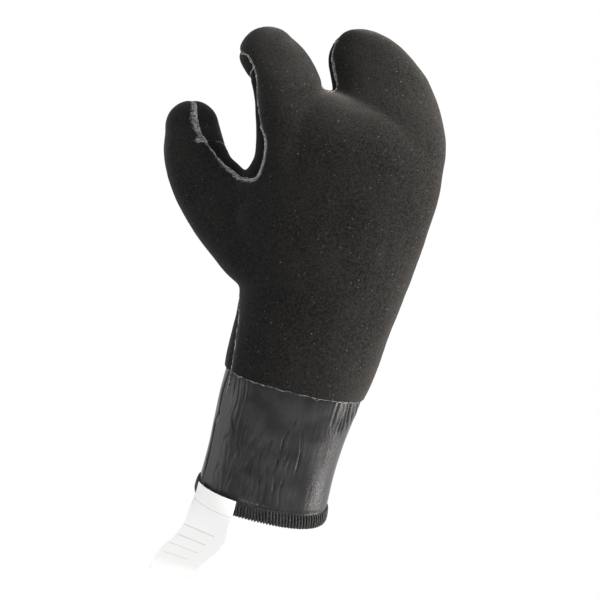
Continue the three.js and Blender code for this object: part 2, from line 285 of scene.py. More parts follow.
palm = straight_form(PALM)
pocket = straight_form(POCKET)
wrist = straight_form(CUFF)
index = finger_form(INDEX)
thumb = finger_form(THUMB)
web = finger_form(WEB)


def mesh_object(name, bm):
    """A new object with a bmesh's shape. The bmesh is freed."""
    mesh = bpy.data.meshes.new(name)
    bm.to_mesh(mesh)
    bm.free()
    obj = bpy.data.objects.new(name, mesh)
    bpy.context.scene.collection.objects.link(obj)
    return obj


def take_in(obj):
    """Applies an object's modifiers to its mesh, and gives the object back."""
    obj.update_tag()
    obj.data.update_tag()
    bpy.context.view_layer.update()
    depsgraph = bpy.context.evaluated_depsgraph_get()
    mesh = bpy.data.meshes.new_from_object(obj.evaluated_get(depsgraph))
    spare = obj.data
    obj.modifiers.clear()
    obj.data = mesh
    bpy.data.meshes.remove(spare)
    mesh.name = obj.name
    return obj


def ring(bm, section, sides):
    """A circle of vertices, drawn out to a cross-section. Gives back its edges."""
    verts = bmesh.ops.create_circle(bm, cap_ends=False, radius=1.0, segments=sides)["verts"]
    for vert in verts:
        vert.co = surface_point(section, math.degrees(math.atan2(vert.co.y, vert.co.x)))
    return list({edge for vert in verts for edge in vert.link_edges})


def loft(bm, sections, sides, capped):
    """Bridges rings of vertices through the cross-sections."""
    rings = [ring(bm, section, sides) for section in sections]
    for near, far in zip(rings, rings[1:]):
        bmesh.ops.bridge_loops(bm, edges=near + far)
    if capped:
        for end in (rings[0], rings[-1]):
            bmesh.ops.contextual_create(bm, geom=end)


def framed(x, y, z):
    """A place over the flat pattern, in the CAD frame, in metres."""
    return Vector(((x - ORIGIN_X) * MM, (y - ORIGIN_Y) * MM, z * MM))


def laid(point):
    """Bends a point of the flat pattern over the resting hand, into the CAD frame, in metres."""
    height = along(ARCH, "y", point.y, "height")
    lean = along(ARCH, "y", point.y, "lean")
    return framed(point.x, point.y - lean * point.z, max(height + point.z, 0.0))


def lay(obj):
    """Lays a whole flat piece over the resting hand."""
    for vert in obj.data.vertices:
        vert.co = laid(vert.co)
    obj.data.update()
    return obj


def wobble(seed, at, size):
    """Smooth noise from -1 to 1 along a line."""
    return noise.noise(Vector((at / size, seed * 7.31, 0.5)))


# Rings of the palm and the pocket: the first and last place and the number of steps between them,
# and then the places of the closer rings that shut their far ends
PALM_RINGS = (58, 219, 40)
PALM_END = [222, 225, 228, 231, 234, 236.5, 239, 240.4, 241.2, 241.5]
POCKET_RINGS = (196, 268, 24)
POCKET_END = [270.5, 273, 275, 277, 279, 281, 282.4, 283.2, 283.6]
INDEX_STEPS = 20
THUMB_STEPS = 24
WEB_STEPS = 20


def finger_places(form, count):
    """Places of a finger's rings, along it and round its tip."""
    last = form.end - 1
    return steps(0, last, count) + [last + t for t in steps(0, 1, TIP_STEPS)[1:]]


def hand_surface():
    """The hand's outer surface: its lobes joined on a grid and rounded."""
    bm = bmesh.new()
    lobes = (
        (palm, steps(*PALM_RINGS) + PALM_END),
        (pocket, steps(*POCKET_RINGS) + POCKET_END),
        (index, finger_places(index, INDEX_STEPS)),
        (thumb, finger_places(thumb, THUMB_STEPS)),
        (web, steps(0, web.end - 1, WEB_STEPS)),
    )
    for form, places in lobes:
        loft(bm, [form.section(place) for place in places], LOBE_SIDES, True)
    bmesh.ops.recalc_face_normals(bm, faces=bm.faces)
    hand = mesh_object("hand_form", bm)
    joined = hand.modifiers.new("Joined", "REMESH")
    joined.mode = "VOXEL"
    joined.voxel_size = VOXEL
    rounded = hand.modifiers.new("Rounded", "SMOOTH")
    rounded.factor = 0.5
    rounded.iterations = ROUNDING
    return take_in(hand)


# Seams: each spot names a form, a place on it and an angle round it
BACK_SEAM = [
    (palm, 62, 151), (palm, 84, 153), (palm, 97, 157), (palm, 108, 167), (palm, 118, 186),
    (thumb, 1.3, 212), (thumb, 2, 212), (thumb, 3, 208), (thumb, 4, 205), (thumb, 4.8, 205),
    (thumb, 5.4, 210), (thumb, 5.78, 218), (thumb, 5.95, 230), (thumb, 5.86, 40), (thumb, 5.5, 66),
    (thumb, 5.14, 74), (thumb, 4.76, 72), (thumb, 4.5, 66), (thumb, 3.94, 53),
    (web, 0.75, 131), (web, 1.3, 134), (web, 2.14, 135), (web, 3.3, 123), (web, 3.71, 125),
    (index, 0.75, 138), (index, 1.09, 150), (index, 1.78, 159), (index, 2.94, 145),
    (index, 3.6, 138), (index, 4.16, 133), (index, 4.36, 160), (index, 4.5, 200),
    (index, 4.5, 270), (index, 4.36, 325), (index, 3.9, 345), (index, 3.2, 351),
    (index, 2.6, 352), (index, 2.15, 356), (palm, 240.6, 124),
    (pocket, 246, 152), (pocket, 250, 155), (pocket, 256, 156), (pocket, 263, 159),
    (pocket, 268, 160), (pocket, 273, 168), (pocket, 277.5, 190), (pocket, 279, 230),
    (pocket, 277.5, 285), (pocket, 272, 305), (pocket, 262, 316), (pocket, 248, 322),
    (pocket, 230, 326), (pocket, 214, 326),
    (palm, 190, 324), (palm, 160, 321), (palm, 130, 320), (palm, 100, 320), (palm, 84, 322),
    (palm, 62, 323),
]
THUMB_GUSSET_SEAM = [
    (thumb, 4.48, 78), (thumb, 4.44, 58), (thumb, 4.36, 30), (thumb, 4.1, -2), (thumb, 3.8, -20),
    (thumb, 3.4, -32), (web, 1.3, 228), (web, 2.2, 230), (web, 3.2, 235), (web, 3.8, 230),
    (index, 0.7, 222), (index, 1.1, 215), (index, 1.8, 210), (index, 2.6, 204), (index, 3.2, 190),
    (index, 3.6, 165), (index, 3.78, 130),
]
FINGER_GUSSET_SEAM = [
    (index, 3.8, 354), (index, 3.7, 342), (index, 3.3, 328), (index, 2.8, 322), (index, 2.3, 318),
    (palm, 240.6, 248), (pocket, 246, 218), (pocket, 250, 210), (pocket, 256, 204),
    (pocket, 263, 198), (pocket, 268, 184), (pocket, 271, 170), (pocket, 272.5, 156),
]

# Dried glue on the cloth beside the seams: a spot, how far it spreads there and how thick it is
GLUE_SPOTS = [
    (thumb, 5.78, 218, 2, 0.6), (thumb, 5.6, 60, 4.5, 0.9), (thumb, 5.14, 74, 6.5, 1.0),
    (thumb, 4.9, 73, 6, 0.95), (thumb, 4.6, 69, 3.5, 0.8), (thumb, 4.2, 60, 2.2, 0.65),
    (thumb, 3.94, 53, 2.4, 0.7), (web, 0.75, 131, 5, 0.8), (web, 1.3, 134, 4.5, 0.9),
    (web, 2.14, 135, 3.4, 1.0), (web, 3.3, 123, 3.4, 1.0), (web, 3.71, 125, 3.6, 1.0),
    (index, 0.75, 138, 3.4, 1.0), (index, 1.09, 150, 2.8, 0.9), (index, 1.78, 159, 1.6, 0.7),
    (index, 2.94, 145, 1.6, 0.8), (index, 3.6, 138, 1.8, 0.9), (index, 4.16, 133, 2.4, 1.0),
    (index, 4.36, 160, 2.6, 1.0), (index, 4.5, 270, 1.5, 0.6), (index, 3.2, 351, 1.5, 0.6),
    (pocket, 244, 150, 2, 0.5), (pocket, 251, 155, 5, 1.5), (pocket, 256, 156, 5, 1.6),
    (pocket, 263, 159, 3.6, 1.5), (pocket, 268, 160, 2.4, 1.1), (pocket, 274, 172, 1.2, 0.5),
    (pocket, 262, 316, 1.2, 0.5), (pocket, 230, 326, 1.4, 0.6), (palm, 190, 324, 1.6, 0.7),
    (palm, 160, 321, 1.3, 0.6), (palm, 120, 320, 1.6, 0.7), (palm, 84, 322, 2, 0.8),
    (palm, 84, 153, 1.2, 0.5), (palm, 108, 167, 1.2, 0.4), (thumb, 2, 212, 1.4, 0.6),
    (thumb, 4, 205, 1.6, 0.7),
]
GLUE_NEIGHBOURS = 3  # spots that settle the glue at a place between them


def evenly(line, gap):
    """The line's points again, a fixed distance apart."""
    out, left = [line[0]], gap
    for a, b in zip(line, line[1:]):
        length = (b - a).length
        done = 0.0
        while length - done > left:
            done += left
            out.append(a.lerp(b, done / length))
            left = gap
        left -= length - done
    return out


def seam_line(rows, skin):
    """Points and normals along a seam, on the hand's rounded surface."""
    spots = [surface_point(form.section(place), angle) for form, place, angle in rows]
    line = [on_curve(spots, t) for t in steps(0, 1, CURVE_STEPS * len(spots))]
    line = [skin.find_nearest(point)[0] for point in evenly(line, SEAM_STEP)]
    for _ in range(SEAM_RELAXES):
        line = [line[0]] + [(a + b * 2 + c) / 4 for a, b, c in zip(line, line[1:], line[2:])] + [line[-1]]
    landed = [skin.find_nearest(point) for point in evenly(line, SEAM_STEP)]
    normals = [hit[1] for hit in landed]
    smooth = []
    for i in range(len(normals)):
        near = normals[max(i - NORMAL_REACH, 0) : i + NORMAL_REACH + 1]
        smooth.append(sum(near, Vector()).normalized())
    return [(hit[0], normal) for hit, normal in zip(landed, smooth)]


def seam_blade(line):
    """A thin closed ribbon along a seam, standing square through the surface."""
    bm = bmesh.new()
    way = bm.verts.layers.float_vector.new("way")
    chain = []
    for place, normal in line:
        vert = bm.verts.new(place + normal * BLADE_REACH)
        vert[way] = normal
        chain.append(vert)
    edges = [bm.edges.new(pair) for pair in zip(chain, chain[1:])]
    for part in bmesh.ops.extrude_edge_only(bm, edges=edges)["geom"]:
        if isinstance(part, bmesh.types.BMVert):
            part.co -= part[way] * 2 * BLADE_REACH
    blade = mesh_object("seam_blade", bm)
    wall = blade.modifiers.new("Wall", "SOLIDIFY")
    wall.thickness = SEAM_GAP
    wall.offset = 0
    take_in(blade)
    bm = bmesh.new()
    bm.from_mesh(blade.data)
    bmesh.ops.recalc_face_normals(bm, faces=bm.faces)
    bm.to_mesh(blade.data)
    bm.free()
    return blade


def tree_of(points):
    """A tree that finds the nearest of many points by its number."""
    tree = KDTree(len(points))
    for i, point in enumerate(points):
        tree.insert(point, i)
    tree.balance()
    return tree


def skin_tree(obj):
    """A tree that finds the nearest place on an object's surface."""
    bm = bmesh.new()
    bm.from_mesh(obj.data)
    tree = BVHTree.FromBMesh(bm)
    bm.free()
    return tree


hand = hand_surface()
hand_skin = skin_tree(hand)
hand_outward = [vert.normal.copy() for vert in hand.data.vertices]
hand_tree = tree_of([vert.co for vert in hand.data.vertices])


def outward(point):
    """The smooth direction out of the uncut hand's surface, near a point."""
    neighbours, softening = 5, 0.2
    near = hand_tree.find_n(point, neighbours)
    total = sum((hand_outward[number] / (gap + softening) for _, number, gap in near), Vector())
    return total.normalized()


seams = [seam_line(rows, hand_skin) for rows in (BACK_SEAM, THUMB_GUSSET_SEAM, FINGER_GUSSET_SEAM)]
seam_points = []
for line in seams:
    seam_points += evenly([place for place, _ in line], FINE_STEP)
seam_tree = tree_of(seam_points)
glue_tree = tree_of(
    [surface_point(form.section(place), angle) for form, place, angle, _, _ in GLUE_SPOTS]
)


def glue_amount(point, gap):
    """How much dried glue lies at a point of the cloth, from the spots nearest along the seam."""
    near = glue_tree.find_n(point, GLUE_NEIGHBOURS)
    shares = [1 / (away + 1.0) ** 2 for _, _, away in near]
    spread, thick = (
        sum(share * size for share, size in zip(shares, sizes)) / sum(shares)
        for sizes in zip(*(GLUE_SPOTS[number][-2:] for _, number, _ in near))
    )
    return thick * max(1 - gap / spread, 0.0)


def cut_along(obj, lines):
    """Cuts a thin slit into a closed form along each seam."""
    blades = [seam_blade(line) for line in lines]
    for blade in blades:
        cut = obj.modifiers.new("Slit", "BOOLEAN")
        cut.operation = "DIFFERENCE"
        cut.solver = "MANIFOLD"
        cut.object = blade
    take_in(obj)
    for blade in blades:
        bpy.data.objects.remove(blade)


def open_panels(obj):
    """Keeps only the outer surface beside the slits, cut off straight at the panels' foot."""
    off_surface, weld = 0.05, 0.02
    bm = bmesh.new()
    bm.from_mesh(obj.data)
    slit = [f for f in bm.faces if hand_skin.find_nearest(f.calc_center_median())[3] > off_surface]
    bmesh.ops.delete(bm, geom=slit, context="FACES")
    bmesh.ops.bisect_plane(
        bm,
        geom=bm.verts[:] + bm.edges[:] + bm.faces[:],
        plane_co=(0, PANEL_EDGE, 0),
        plane_no=(0, 1, 0),
        clear_inner=True,
    )
    bmesh.ops.remove_doubles(bm, verts=bm.verts, dist=weld)
    loose = [v for v in bm.verts if not v.link_faces]
    bmesh.ops.delete(bm, geom=loose, context="VERTS")
    bm.to_mesh(obj.data)
    bm.free()
    obj.data.materials.clear()


def separate(obj):
    """An object's loose parts as objects of their own, the largest first."""
    bpy.ops.object.select_all(action="DESELECT")
    obj.select_set(True)
    bpy.context.view_layer.objects.active = obj
    bpy.ops.mesh.separate(type="LOOSE")
    parts = list(bpy.context.selected_objects)
    parts.sort(key=lambda part: -sum(face.area for face in part.data.polygons))
    return parts


PANEL_NAMES = ("back_panel", "palm_panel", "thumb_gusset", "finger_gusset")
cut_along(hand, seams)
open_panels(hand)
panels = separate(hand)
for scrap in panels[len(PANEL_NAMES) :]:
    bpy.data.objects.remove(scrap)
panels = panels[: len(PANEL_NAMES)]

# Soft dents in the back of the hand: spots x, y on the flat pattern, then depth and width
DENT_STEPS = 80
DENT_BLUNT = 0.6
DENTS = [
    ([(29.2, 180), (30.9, 167), (32.3, 153), (33.7, 139)], 0.35, 2.6),
    ([(-17, 238.8), (-9, 236.8), (-1, 235.2), (6, 236.2), (13, 238.8)], 0.7, 4.2),
]


def dent_samples():
    """Points along each dent, with its depth there, which fades to its ends, and its width."""
    out = []
    for spots, deep, wide in DENTS:
        spots = [Vector((x, y, 0)) for x, y in spots]
        for t in steps(0, 1, DENT_STEPS):
            out.append((on_curve(spots, t), deep * fading(t, DENT_BLUNT), wide))
    return out


dents = dent_samples()
dent_tree = tree_of([spot for spot, _, _ in dents])


def smooth_shading(obj, angle=50.0):
    """Smooth shading, apart from edges sharper than an angle."""
    for face in obj.data.polygons:
        face.use_smooth = True
    obj.data.set_sharp_from_angle(angle=math.radians(angle))


def note_pattern(obj, **values):
    """Keeps each vertex's place on the flat pattern, and other values of its own, for the materials."""
    spots = [x for vert in obj.data.vertices for x in vert.co]
    obj.data.attributes.new("pattern", "FLOAT_VECTOR", "POINT")
    obj.data.attributes["pattern"].data.foreach_set("vector", spots)
    for name, numbers in values.items():
        obj.data.attributes.new(name, "FLOAT", "POINT")
        obj.data.attributes[name].data.foreach_set("value", numbers)


# The cuff's creases: spots y, angle on the wrist form, then the share of the full depth, and the width
CREASE_DEEP = 1.3
CREASE_STRAY = 0.9  # how far a crease wanders from its line
CREASE_REACH = 4.0  # how far a crease is felt
CREASE_STEPS = 120
CREASE_BLUNT = 0.7
CREASE_SHARP = 0.6  # a crease's valley as a share of its width
CREASE_LIP = (0.4, 1.5)  # the swelling beside it: share of its depth, and widths away
CREASES = [
    ([(62, 82.7), (57.5, 82.3), (52.6, 81.8)], 0.4, 0.8),
    ([(57.3, 83.7), (52.3, 84.7), (48, 85.9)], 0.35, 0.8),
    ([(50.6, 86.6), (44.4, 86.2), (37.5, 86.3)], 0.5, 0.85),
    ([(47.8, 93.1), (42.1, 93.4), (36.3, 94)], 0.45, 0.85),
    ([(39, 86.7), (32.4, 87.2), (25.5, 87.7)], 0.55, 0.9),
    ([(37.5, 77.8), (32.2, 77.7), (26.5, 77.8)], 0.45, 0.85),
    ([(31.8, 92.1), (28.2, 92.3), (24.3, 92.1)], 0.4, 0.8),
    ([(26, 94.9), (19.5, 94.6), (8, 93.6)], 0.45, 0.9),
    ([(26.5, 90.3), (18.5, 90.2), (7, 89.5)], 0.5, 0.9),
    ([(27, 86.1), (19, 84.4), (8, 83)], 0.45, 0.85),
    ([(28, 79.4), (20, 78.9), (9, 78.4)], 0.4, 0.85),
    ([(33, 102), (27.3, 102.7), (21, 103.5)], 0.4, 0.85),
    ([(24, 98.5), (15, 98.2), (7, 97.6)], 0.35, 0.8),
    ([(22, 106.6), (15, 106.2), (8, 105.6)], 0.3, 0.8),
    ([(55.5, 76.3), (45.4, 71.8), (34, 68)], 0.35, 0.8),
    ([(43.5, 71.4), (35.4, 70.6), (27, 70)], 0.35, 0.8),
    ([(58, 92), (52, 91.2), (45, 90.6)], 0.25, 0.8),
    ([(42, 98.6), (35, 98.6), (29, 98.8)], 0.3, 0.8),
    ([(44, 80.4), (38, 81.2), (31, 82)], 0.35, 0.8),
    ([(77, 39.5), (62.1, 35.8), (52, 31.5)], 0.5, 0.85),
    ([(77, 35), (66, 31.4), (55, 22.3)], 0.7, 0.9),
    ([(77, 29), (66.8, 23.3), (59, 17)], 0.7, 0.9),
    ([(77, 22), (69.5, 16.5), (63, 9)], 0.7, 0.9),
    ([(69, 39.8), (62.4, 39.6), (55, 38.4)], 0.4, 0.85),
    ([(76, 50.5), (66, 50), (58.6, 49)], 0.35, 0.85),
    ([(77, 13), (68, 5), (60, -2)], 0.8, 1.1),
    ([(76, 4), (67, -5), (58, -12)], 0.7, 1.2),
    ([(75.5, -4), (66, -14), (56, -20)], 0.7, 1.2),
    ([(76, 150.5), (70.2, 150), (64.3, 149)], 0.3, 0.7),
    ([(76, 144), (70.2, 141.6), (60.9, 138.9)], 0.35, 0.7),
    ([(76, 137.5), (66.9, 133.7), (56.3, 132)], 0.3, 0.7),
    ([(76, 130), (69, 128), (61, 126)], 0.25, 0.7),
    ([(40, 215), (24, 212), (8, 210)], 0.5, 1.1),
    ([(60, 250), (40, 252), (22, 250)], 0.5, 1.1),
    ([(50, 285), (30, 288), (10, 290)], 0.5, 1.1),
    ([(66, 320), (48, 322), (34, 318)], 0.5, 1.1),
]
# The cuff's glued side seam: spots y, angle on the wrist form
SIDE_SEAM = [
    (76, 158), (61.8, 161), (53.3, 159), (48.3, 158), (41.5, 162), (31.1, 161.5), (16, 160), (6, 159),
]
SIDE_SEAM_OPEN = 2.2
SIDE_SEAM_WIDE = 0.9
SIDE_SEAM_LIP = (0.25, 2, 1.4)  # the swelling beside it: height, distance and width
SIDE_SEAM_STEPS = 300


def crease_samples():
    """Points along each crease, with its number, its depth there and its width."""
    out = []
    for number, (spots, deep, wide) in enumerate(CREASES):
        spots = [surface_point(wrist.section(y), angle) for y, angle in spots]
        for t in steps(0, 1, CREASE_STEPS):
            spot = on_curve(spots, t)
            spot.x += CREASE_STRAY * wobble(number, spot.y, 7.0)
            out.append((spot, number, CREASE_DEEP * deep * fading(t, CREASE_BLUNT), wide))
    return out


creases = crease_samples()
crease_tree = tree_of([spot for spot, _, _, _ in creases])
side_spots = [surface_point(wrist.section(y), angle) for y, angle in SIDE_SEAM]
side_tree = tree_of([on_curve(side_spots, t) for t in steps(0, 1, SIDE_SEAM_STEPS)])


def crease_rise(point):
    """How far the cuff's skin dips in its creases, or swells beside them."""
    nearest = {}
    for _, number, gap in crease_tree.find_range(point, CREASE_REACH):
        _, crease, deep, wide = creases[number]
        if crease not in nearest or gap < nearest[crease][0]:
            nearest[crease] = (gap, deep, wide)
    lip, lip_away = CREASE_LIP
    rise = 0.0
    for gap, deep, wide in nearest.values():
        rise -= deep * bell(gap, CREASE_SHARP * wide)
        rise += lip * deep * bell(gap - lip_away * wide, wide)
    return rise


# Fine crinkles over the lower back of the cuff
CRINKLE_DEEP = 0.34
CRINKLE_GAP = 2.8
CRINKLE_LONG = 17.0
CRINKLE_THIN = 0.28  # height of the noise that a valley takes up
CRINKLE_LEFT = (-37, -27)  # x between which they fade in
CRINKLE_RIGHT = (-2, 14)  # x between which they fade out
CRINKLE_TOP = (44, 66)  # y between which they grow fainter
CRINKLE_FADE = 0.75


def crinkle_rise(point):
    """Thin valleys that run lengthwise, split and meet, where a slow noise crosses zero."""
    if point.z <= 0:
        return 0.0
    share = smoothstep(*CRINKLE_LEFT, point.x) * (1 - smoothstep(*CRINKLE_RIGHT, point.x))
    share *= 1 - CRINKLE_FADE * smoothstep(*CRINKLE_TOP, point.y)
    bend = 0.5 * noise.noise(Vector((point.x / 6, point.y / 9, 4.0)))
    field = noise.noise(Vector((point.x / CRINKLE_GAP + bend, point.y / CRINKLE_LONG, 9.0)))
    return -CRINKLE_DEEP * share * max(1 - abs(field) / CRINKLE_THIN, 0.0)


def side_seam_rise(y, gap):
    """The side seam's slit, which stands open in places, and the low lip beside it."""
    ajar = 0.35 + 0.65 * max(wobble(3, y, 13.0) + 0.35, 0.0)
    slit = SIDE_SEAM_OPEN * ajar * bell(gap, SIDE_SEAM_WIDE)
    high, away, wide = SIDE_SEAM_LIP
    return high * bell(gap - away, wide) - slit


# The sleeve's mesh, a plainer one that only measures distances, and the relief in millimetres
SLEEVE_SIDES = 400
SLEEVE_ROWS = 108
PLAIN_SIDES = 96
PLAIN_ROWS = 24
SKIN_WAVES = ((0.16, 11, 30), (0.10, 2.2, 14))  # height, then size across and along the cuff
PULL_AWAY = 0.6  # from the hem and the panels' foot to where the rubber is drawn in
HEM_PULL = (0.35, 1.2)  # depth and width
FOOT_PULL = (0.3, 1.0)


def skin_rise(point, gap):
    """The cuff's whole relief at a point, a gap away from its side seam."""
    rise = 0.0
    for high, across, lengthwise in SKIN_WAVES:
        rise += high * noise.noise(Vector((point.x / across, point.y / lengthwise, point.z / across)))
    rise += crease_rise(point) + crinkle_rise(point)
    rise += side_seam_rise(point.y, gap)
    rise -= HEM_PULL[0] * bell(point.y - HEM_HEIGHT - PULL_AWAY, HEM_PULL[1])
    rise -= FOOT_PULL[0] * bell(point.y - PANEL_EDGE + PULL_AWAY, FOOT_PULL[1])
    return rise


def cuff_sleeve():
    """The thin rubber cuff with its creases, open at both ends."""
    bm = bmesh.new()
    loft(bm, [wrist.section(y) for y in steps(0, CUFF_TOP, SLEEVE_ROWS)], SLEEVE_SIDES, False)
    bmesh.ops.recalc_face_normals(bm, faces=bm.faces)
    bm.normal_update()
    sample = next(iter(bm.faces))
    middle = wrist.section(CUFF_TOP / 2).middle
    if sample.normal.dot(sample.calc_center_median() - middle) < 0:
        bmesh.ops.reverse_faces(bm, faces=bm.faces)
        bm.normal_update()
    moves, gaps = [], []
    for vert in bm.verts:
        gap = side_tree.find(vert.co)[2]
        gaps.append(gap)
        moves.append((vert, vert.normal * skin_rise(vert.co, gap)))
    for vert, move in moves:
        vert.co += move
    sleeve = mesh_object("cuff_sleeve", bm)
    note_pattern(sleeve, seam=gaps)
    wall = sleeve.modifiers.new("Wall", "SOLIDIFY")
    wall.thickness = CUFF_WALL
    wall.offset = -1
    return take_in(sleeve)


def plain_cuff_tree():
    """A tree of the cuff's surface without its relief."""
    bm = bmesh.new()
    loft(bm, [wrist.section(y) for y in steps(0, CUFF_TOP, PLAIN_ROWS)], PLAIN_SIDES, False)
    tree = BVHTree.FromBMesh(bm)
    bm.free()
    return tree


# The panels' relief, and their foot, which is cut unevenly and thins where the cuff is glued inside
CLOTH_WAVES = ((0.3, 17.0), (0.12, 6.0))  # height and size
FOOT_STRAY = 0.5
FOOT_ZONE = 4.0  # height over which the straying fades out
CUFF_ZONE = 8.0  # height above the cuff's top that may still be thinned
CUFF_CLEARANCE = 0.5
THINNEST_WALL = 0.9


def cloth_rise(point, gap):
    """A panel's relief at a point, a gap away from the nearest seam."""
    rise = -GROOVE_DEEP * bell(gap, GROOVE_WIDE)
    rise += sum(high * noise.noise(point / size) for high, size in CLOTH_WAVES)
    if point.z > 0:
        _, number, away = dent_tree.find(Vector((point.x, point.y, 0)))
        deep, wide = dents[number][1:]
        rise -= deep * bell(away, wide)
    return rise


def foot_stray(point):
    """How far a panel's foot strays from its straight cut."""
    fade = 1 - smoothstep(0, FOOT_ZONE, point.y - PANEL_EDGE)
    return (FOOT_STRAY * wobble(1, point.x + 2 * point.z, 5.0)) * fade


def wall_room(point, cuff_tree):
    """The thickness that a panel's wall has room for."""
    if point.y >= CUFF_TOP + CUFF_ZONE:
        return HAND_WALL
    room = cuff_tree.find_nearest(point)[3] - CUFF_CLEARANCE
    return min(max(room, THINNEST_WALL), HAND_WALL)


def foam_panel(obj, cuff_tree, glued):
    """Gives a panel its relief, its foam wall, and its glue and place on the pattern."""
    mesh = obj.data
    smears, rooms = [], []
    normals = [outward(vert.co) for vert in mesh.vertices]
    for vert, normal in zip(mesh.vertices, normals):
        co = vert.co.copy()
        gap = seam_tree.find(co)[2]
        smears.append(glued * glue_amount(co, gap))
        rooms.append(wall_room(co, cuff_tree))
        if co.y < PANEL_EDGE + FOOT_ZONE:
            vert.co.y += foot_stray(co)
        vert.co += normal * cloth_rise(co, gap)
    note_pattern(obj, glue=smears)
    wall = obj.modifiers.new("Wall", "SOLIDIFY")
    wall.thickness = HAND_WALL
    wall.offset = -1
    wall.material_offset = 1
    wall.material_offset_rim = 1
    take_in(obj)
    verts = obj.data.vertices
    outer = len(rooms)
    assert len(verts) == 2 * outer
    for number in range(outer):
        verts[outer + number].co = verts[number].co - normals[number] * rooms[number]


# Glue squeezed out along the seams and at the panels' foot
BEAD = 0.42  # the beads' full radius
EDGE_BEAD = 0.5
BEAD_WAVES = ((0.6, 3.1), (0.5, 11.0))  # how much the radius changes, and over what length
BEAD_STRAY = 0.5
BEAD_PROUD = 0.3  # share of its radius by which a bead's middle stands above the seam's dip
EDGE_PROUD = 0.25  # the same above the cuff
EDGE_BELOW = 0.9  # from the panels' foot to the bead on the cuff
EDGE_PER_DEGREE = 0.9
EDGE_STEP = 0.7


def uneven(seed, at, size):
    """A bead's thickness along its length, which thins out to little in places."""
    (quick, short), (slow, long) = BEAD_WAVES
    share = 0.6 + quick * wobble(seed, at, short) + slow * wobble(seed + 9, at, long)
    return max(share, 0.1) * size


def from_crossing(line, tree):
    """A seam from the place near its start where it crosses another one, up to one near its end."""
    away = [tree.find(place)[2] for place, _ in line]
    ends = 6  # parts of the seam, the first and last of which hold its crossings
    reach = len(line) // ends
    start = min(range(reach), key=away.__getitem__)
    end = min(range(len(line) - reach, len(line)), key=away.__getitem__)
    return line[start : end + 1]


def bead(name, runs):
    """Round beads along runs of (point in the laid frame, radius in mm), as one mesh."""
    curve = bpy.data.curves.new(name, "CURVE")
    curve.dimensions = "3D"
    curve.bevel_depth = MM
    curve.bevel_resolution = 1
    for run in runs:
        spline = curve.splines.new("POLY")
        spline.points.add(len(run) - 1)
        for point, (at, radius) in zip(spline.points, run):
            point.co = (at.x, at.y, max(at.z, radius * MM), 1)
            point.radius = radius
    source = bpy.data.objects.new(name + "_line", curve)
    mesh = bpy.data.meshes.new_from_object(source)
    bpy.data.objects.remove(source)
    mesh.name = name
    obj = bpy.data.objects.new(name, mesh)
    bpy.context.scene.collection.objects.link(obj)
    smooth_shading(obj, angle=80)
    return obj


def seam_run(line, seed):
    """A bead's run in the bottom of a seam's dip, with a little stray."""
    run = []
    for i, (place, normal) in enumerate(line):
        at = i * SEAM_STEP
        radius = uneven(seed, at, BEAD)
        stray = Vector([wobble(seed + shift, at, 2.0) for shift in (5, 6, 7)]) * BEAD_STRAY
        run.append((laid(place - normal * (GROOVE_DEEP - BEAD_PROUD * radius) + stray), radius))
    return run


def edge_run(start, end, swing, seed):
    """Glue along the foot of the panels on the cuff, between two angles on the wrist form."""
    run = []
    count = round(abs(end - start) * EDGE_PER_DEGREE)
    for i, angle in enumerate(steps(start, end, count)):
        at = i * EDGE_STEP
        radius = uneven(seed, at, EDGE_BEAD)
        y = PANEL_EDGE - EDGE_BELOW + swing * (wobble(seed + 1, at, 4.0) + 0.7 * wobble(seed + 2, at, 1.7))
        run.append((laid(surface_point(wrist.section(y, -EDGE_PROUD * radius), angle)), radius))
    return run


# The overlocked hem
WRAP_PITCH = 1.8
THREAD_RADIUS = 0.64
WRAP_JITTER = 0.25
WRAP_UNEVEN = 0.35
WRAP_TOP = 3  # height above which a wrap ends higher or lower
THREAD_UNEVEN = (0.92, 0.14)  # share of the radius, and how much it changes
UNDER_LABEL = (84, 150)  # angles between which the wraps end lower
LABEL_DIP = 0.8
HEM_STEPS = 1440
# A wrap's path from the outside, round the cuff's edge, to the inside: its place along the cuff, how
# far off the cuff's outer surface it is, and its slant round the cuff in millimetres
WRAP_PATH = table(
    "y off slant",
    (5.9, 0.1, 1.0),
    (5.3, 0.7, 0.9),
    (4.0, 0.9, 0.65),
    (2.0, 1.0, 0.3),
    (0.0, 0.95, 0.0),
    (-1.2, 0.5, -0.1),
    (-1.6, -0.8, -0.15),
    (-1.6, -2.4, -0.15),
    (-1.0, -3.6, -0.1),
    (0.8, -4.0, 0.1),
    (3.2, -4.0, 0.5),
    (5.4, -3.8, 0.9),
)


def wrap_angles():
    """Angles round the cuff, spaced evenly along its hem, and the degrees to a millimetre."""
    turns = steps(0, 360, HEM_STEPS)
    fine = [surface_point(wrist.section(0), turn) for turn in turns]
    total = sum((b - a).length for a, b in zip(fine, fine[1:]))
    count = round(total / WRAP_PITCH)
    out, done, wanted = [], 0.0, 0.0
    for turn, a, b in zip(turns, fine, fine[1:]):
        while wanted <= done and len(out) < count:
            out.append(turn)
            wanted += total / count
        done += (b - a).length
    return out, 360 / total


